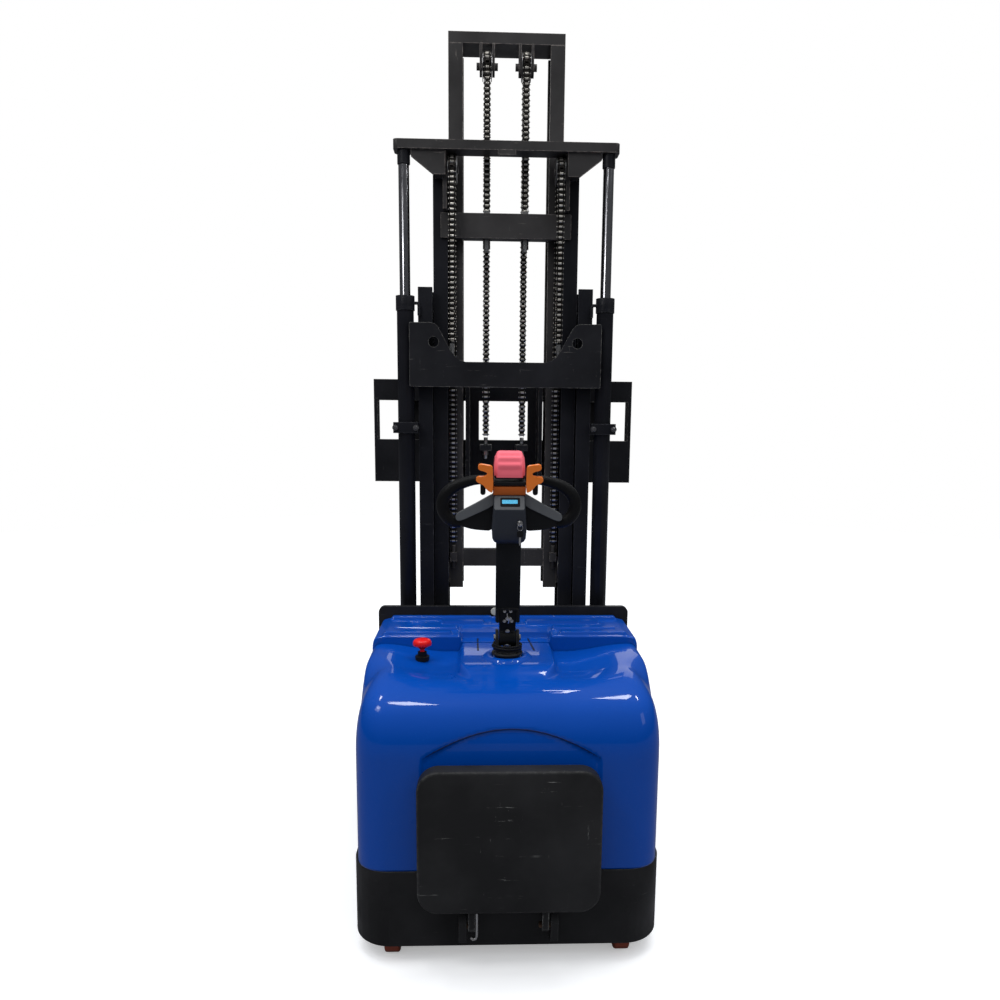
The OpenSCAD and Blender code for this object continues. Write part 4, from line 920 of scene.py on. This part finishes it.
def make_handle():
    """The loop handle: rubber grips, grey arms, black lower shells and the two small levers."""
    grips, arms, shells = tiller_shape(), tiller_shape(), tiller_shape()
    root = 47
    path = [(root, 454), (66, 457), (92, 455), (118, 448), (142, 437), (161, 421), (172, 402), (174.5, 382),
            (169, 363), (157, 348), (142, 340), (128, 338)]
    loop = curve([Vector(point) for point in path], 6)
    n = len(loop)
    radii = [12 + 4.8 * smooth(i, 0, n / 2) - 2.8 * smooth(i, n - 14, n - 1) for i in range(n)]
    arm = eased([(34, 427), (50, 419), (90, 395), (134, 372), (144, 362), (141, 348), (127, 348), (92, 365),
                 (34, 393)])
    shell = eased([(34, 398), (92, 370), (130, 352), (142, 347), (134, 334), (112, 325), (88, 320),
                   (34, 317)])
    web = [(42, 420), (124, 362), (132, 352), (42, 385)]
    lever = [(63, 446), (77, 446), (77, 420), (73, 416), (67, 416), (63, 420)]
    blocks = ((arms, arm, -19, -8), (shells, shell, -12, 12), (shells, web, -8, 8), (shells, lever, -7, 3))
    for side in (-1, 1):
        points = [(side * (root + (p.x - root) * 1.035), 1 + 2 * math.sin(i / 20), p.y)
                  for i, p in enumerate(loop)]
        points[-1] = (points[-1][0], 1, points[-1][2])
        grips.tube(points, radii, 20)
        for part, outline, near, far in blocks:
            part.prism([(side * x, z) for x, z in outline], near, far, "Y")
    grips.piece("grips", [GRIP], "tiller", "grip_rubber", replaces=("tiller_handle",), sharp=60)
    arms.piece("handle_arms", [LIGHT_GREY], "tiller", "grey_plastic", 0.003, segments=3)
    shells.piece("handle_shells", [BLACK_PLASTIC], "tiller", "black_plastic", 0.003, segments=3)


def make_key():
    """The ignition key in its lock, with a ring and a second key hanging from it."""
    low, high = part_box("key")
    x = (low.x + high.x) / 2 / MM
    lock_place = ON_TILLER.inverted() @ Vector(JOINTS["key_turn"]["pos_m"]) / MM
    y, z = lock_place.y, lock_place.z
    lock = tiller_shape()
    lock.lathe([(6.5, y + 8), (7, y + 7), (7, y - 3), (6, y - 4), (3, y - 4)], (x, 0, z), "Y", 24)
    lock.piece("key_lock", [ZINC], "ignition_key", "bright_steel", replaces=("key",), sharp=40)
    keys = tiller_shape()
    keys.prism(rounded(1.1, 5, 1, 3, (x, z)), y - 13, y - 4, "Y")
    turns = [k * math.tau / 20 for k in range(21)]
    keys.tube([(x + 7 * math.sin(turn), y - 11, z - 8 + 8 * math.cos(turn)) for turn in turns], 0.8, 8)
    blade = [(-2.6, -34), (2.6, -34), (2.4, -52), (0.8, -58), (-1.6, -56), (-2.6, -50)]
    keys.prism([(x + across, z + down) for across, down in blade], y - 12, y - 10.4, "Y")
    keys.piece("keys", [ZINC], "ignition_key", "bright_steel", 0.0004)
    bow = tiller_shape()
    bow.prism(rounded(8.5, 8.5, 4, 5, (x, z - 26)), y - 13, y - 9.4, "Y")
    bow.piece("key_bow", [BLACK_PLASTIC], "ignition_key", "black_plastic", 0.001)


# ---------- chains ----------

PITCH = 0.015875


def link(shape, centre, ahead, width, odd):
    """One pitch of chain at centre: its roller and pin along X, and the side plates that run ahead."""
    place = Vector(centre)
    outward = Vector((0, ahead.z, -ahead.y))
    inner, outer = width * 0.24, width * 0.40
    plate_r = 0.0066

    def across(outline, x0, x1, paint):
        shape.loft([[(place.x + x, p.y, p.z) for p in outline] for x in (x0, x1)], paint)

    def circle(r, sides):
        turns = [k * math.tau / sides for k in range(sides)]
        return [place + outward * (r * math.cos(turn)) + ahead * (r * math.sin(turn)) for turn in turns]

    across(circle(0.0050, 10), -inner, inner, 0)
    thick, gap = outward * 0.0068, ahead * 0.003
    back, front = place + gap - thick / 2, place + ahead * PITCH - gap + thick / 2
    across([back, back + thick, front, front - thick], -inner, inner, 1)
    across(circle(0.0024, 8), -width / 2, width / 2, 0)
    plates = ((-outer, -outer + 0.0016), (outer - 0.0016, outer))
    if not odd:
        plates = ((-inner - 0.0020, -inner), (inner, inner + 0.0020))
    outline = []
    for end, start in ((place + ahead * PITCH, -math.pi / 2), (place, math.pi / 2)):
        for a in [start + k * math.pi / 4 for k in range(5)]:
            outline.append(end + ahead * (plate_r * math.cos(a)) + outward * (plate_r * math.sin(a)))
    for x0, x1 in plates:
        across(outline, x0, x1, 1)


def strand(name, node, body_a, body_b, fixed_low):
    """A pair of straight chain runs that stand for a CAD strand between two bodies; the piece is fixed to
    neither of them.
    fixed_low says that body_a holds the lower end."""
    low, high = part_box(node)
    y = (low.y + high.y) / 2
    width = 0.024
    shape = Shape()
    count = int((high.z - low.z) / PITCH)
    for side in (-1, 1):
        x = side * (high.x - width / 2)
        for i in range(count):
            link(shape, (x, y, high.z - (i + 1) * PITCH), Vector((0, 0, 1)), width, i % 2)
    ends = [(0, y, low.z), (0, y, high.z)]
    if not fixed_low:
        ends.reverse()
    shape.piece(name, [CHAIN, CHAIN_DARK], (body_a, body_b, *ends), "chain_steel", replaces=(node,),
                sharp=35)


def wrap(name, sheaves, node, body):
    """The run of chain over a pair of chain wheels."""
    low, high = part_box(sheaves)
    y, z = (low.y + high.y) / 2, (low.z + high.z) / 2
    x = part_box(node)[1].x - 0.012
    r = 0.038
    count = int(math.pi * r / PITCH) + 1
    shape = Shape()
    for side in (-1, 1):
        for i in range(count):
            a = i * math.pi / count
            half_way = a + math.pi / 2 / count
            ahead = Vector((0, -math.sin(half_way), math.cos(half_way)))
            spot = (side * x, y + r * math.cos(a), z + r * math.sin(a))
            link(shape, spot, ahead, 0.024, i % 2)
    shape.piece(name, [CHAIN, CHAIN_DARK], body, "chain_steel", sharp=35)


def make_chains():
    strand("chain_outer_front", "chain_a_front", "chassis", "mid_stage", True)
    strand("chain_outer_rear", "chain_a_rear", "mid_stage", "inner_stage", False)
    strand("chain_inner_front", "chain_b_front", "mid_stage", "inner_stage", True)
    strand("chain_inner_rear", "chain_b_rear", "inner_stage", "carriage", False)
    wrap("chain_outer_wrap", "sheaves_a", "chain_a_front", "mid_stage")
    wrap("chain_inner_wrap", "sheaves_b", "chain_b_front", "inner_stage")


# ---------- mast fittings ----------

def make_mast_fittings():
    """Clamp screws, cylinder fittings and hose stubs, rod sleeves, and the bulkhead's grommet."""
    clamp_low, clamp_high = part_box("cylinder_clamps")
    z = (clamp_low.z + clamp_high.z) / 2
    screws = Shape()
    for side in (-1, 1):
        for x in (0.2875, 0.354):
            screws.bolt((side * x, clamp_low.y + 0.004, z), "Y", 0.0070, 0.006, -1, 1)
    grommet = [(0.004, 0.0), (0.012, -0.001), (0.0135, -0.004), (0.012, -0.0065), (0.006, -0.007)]
    screws.lathe(grommet, (-0.030, FRONT, 0.799), "Y", 28, 2)
    screws.piece("clamp_screws", [ZINC, ROLLER, PALE], "chassis", "bright_steel", sharp=30)
    fittings = Shape()
    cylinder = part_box("lift_cylinders")
    x, y = cylinder[1].x - 0.030, (cylinder[0].y + cylinder[1].y) / 2
    top = cylinder[1].z
    for side in (-1, 1):
        ring = [(0.0275, -0.046), (0.0300, -0.045), (0.0300, -0.002), (0.0285, 0.0), (0.019, 0.001)]
        fittings.lathe(ring, (side * x, y, top), "Z", 40)
        elbow = [(side * (x - 0.026), y - 0.004, top - 0.022), (side * (x - 0.040), y - 0.004, top - 0.022),
                 (side * (x - 0.044), y - 0.004, top - 0.030), (side * (x - 0.044), y - 0.004, top - 0.060)]
        fittings.tube(elbow, 0.0052, 12)
    fittings.piece("cylinder_fittings", [MAST], "chassis", "mast_paint", sharp=40)
    sleeves = Shape()
    rod_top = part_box("crosshead")[1].z - 0.030
    for side in (-1, 1):
        sleeve = [(0.0180, -0.040), (0.0200, -0.038), (0.0200, -0.002), (0.0200, 0.0)]
        sleeves.lathe(sleeve, (side * x, y, rod_top), "Z", 32)
    sleeves.piece("rod_sleeves", [MAST], "mid_stage", "mast_paint", sharp=40)


def make_wheels():
    """Wheels turned from profiles: tyre, rim and hub with bearings."""
    wheels = [(kind + "_" + side, side + "_" + kind)
              for kind in ("caster_wheel", "load_wheel") for side in ("left", "right")]
    # Both profiles are in shares of the wheel's radius and of half its width.
    tyre = [(0.70, -1), (0.93, -1), (0.985, -0.90), (1, -0.72), (1, 0.72), (0.985, 0.90), (0.93, 1),
            (0.70, 1), (0.68, 0.9), (0.68, -0.9), (0.70, -1)]
    hub = [(0.69, -0.9), (0.69, -0.5), (0.42, -0.45), (0.36, -0.92), (0.20, -0.92), (0.20, 0.92),
           (0.36, 0.92), (0.42, 0.45), (0.69, 0.5), (0.69, 0.9), (0.66, 0.9), (0.66, -0.9), (0.69, -0.9)]
    for node, body in wheels + [("drive_wheel", "traction_wheel")]:
        low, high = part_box(node)
        centre = (low + high) / 2
        r, half = (high.z - low.z) / 2, (high.x - low.x) / 2
        shape = Shape()
        shape.lathe([(r * out, half * along) for out, along in tyre], centre, "X", 64)
        shape.piece(node + "_tyre", [POLY], body, "wheel_poly", sharp=40, replaces=(node,))
        core = Shape()
        core.lathe([(r * out, half * along) for out, along in hub], centre, "X", 48)
        core.piece(node + "_hub", [CAST], body, "cast_grey", sharp=40)


# ---------- the scene ----------

make_camera()
make_studio()
bpy.context.scene.view_settings.view_transform = "Standard"
dress_frame()
make_hood()
make_arch_shadow_line()
make_boss()
make_lid()
make_stop_button()
make_platform()
make_tiller_base()
make_cable_winding()
make_tiller_column()
make_head()
make_belly_pad()
make_wings()
make_handle()
make_key()
make_chains()
make_mast_fittings()
make_wheels()
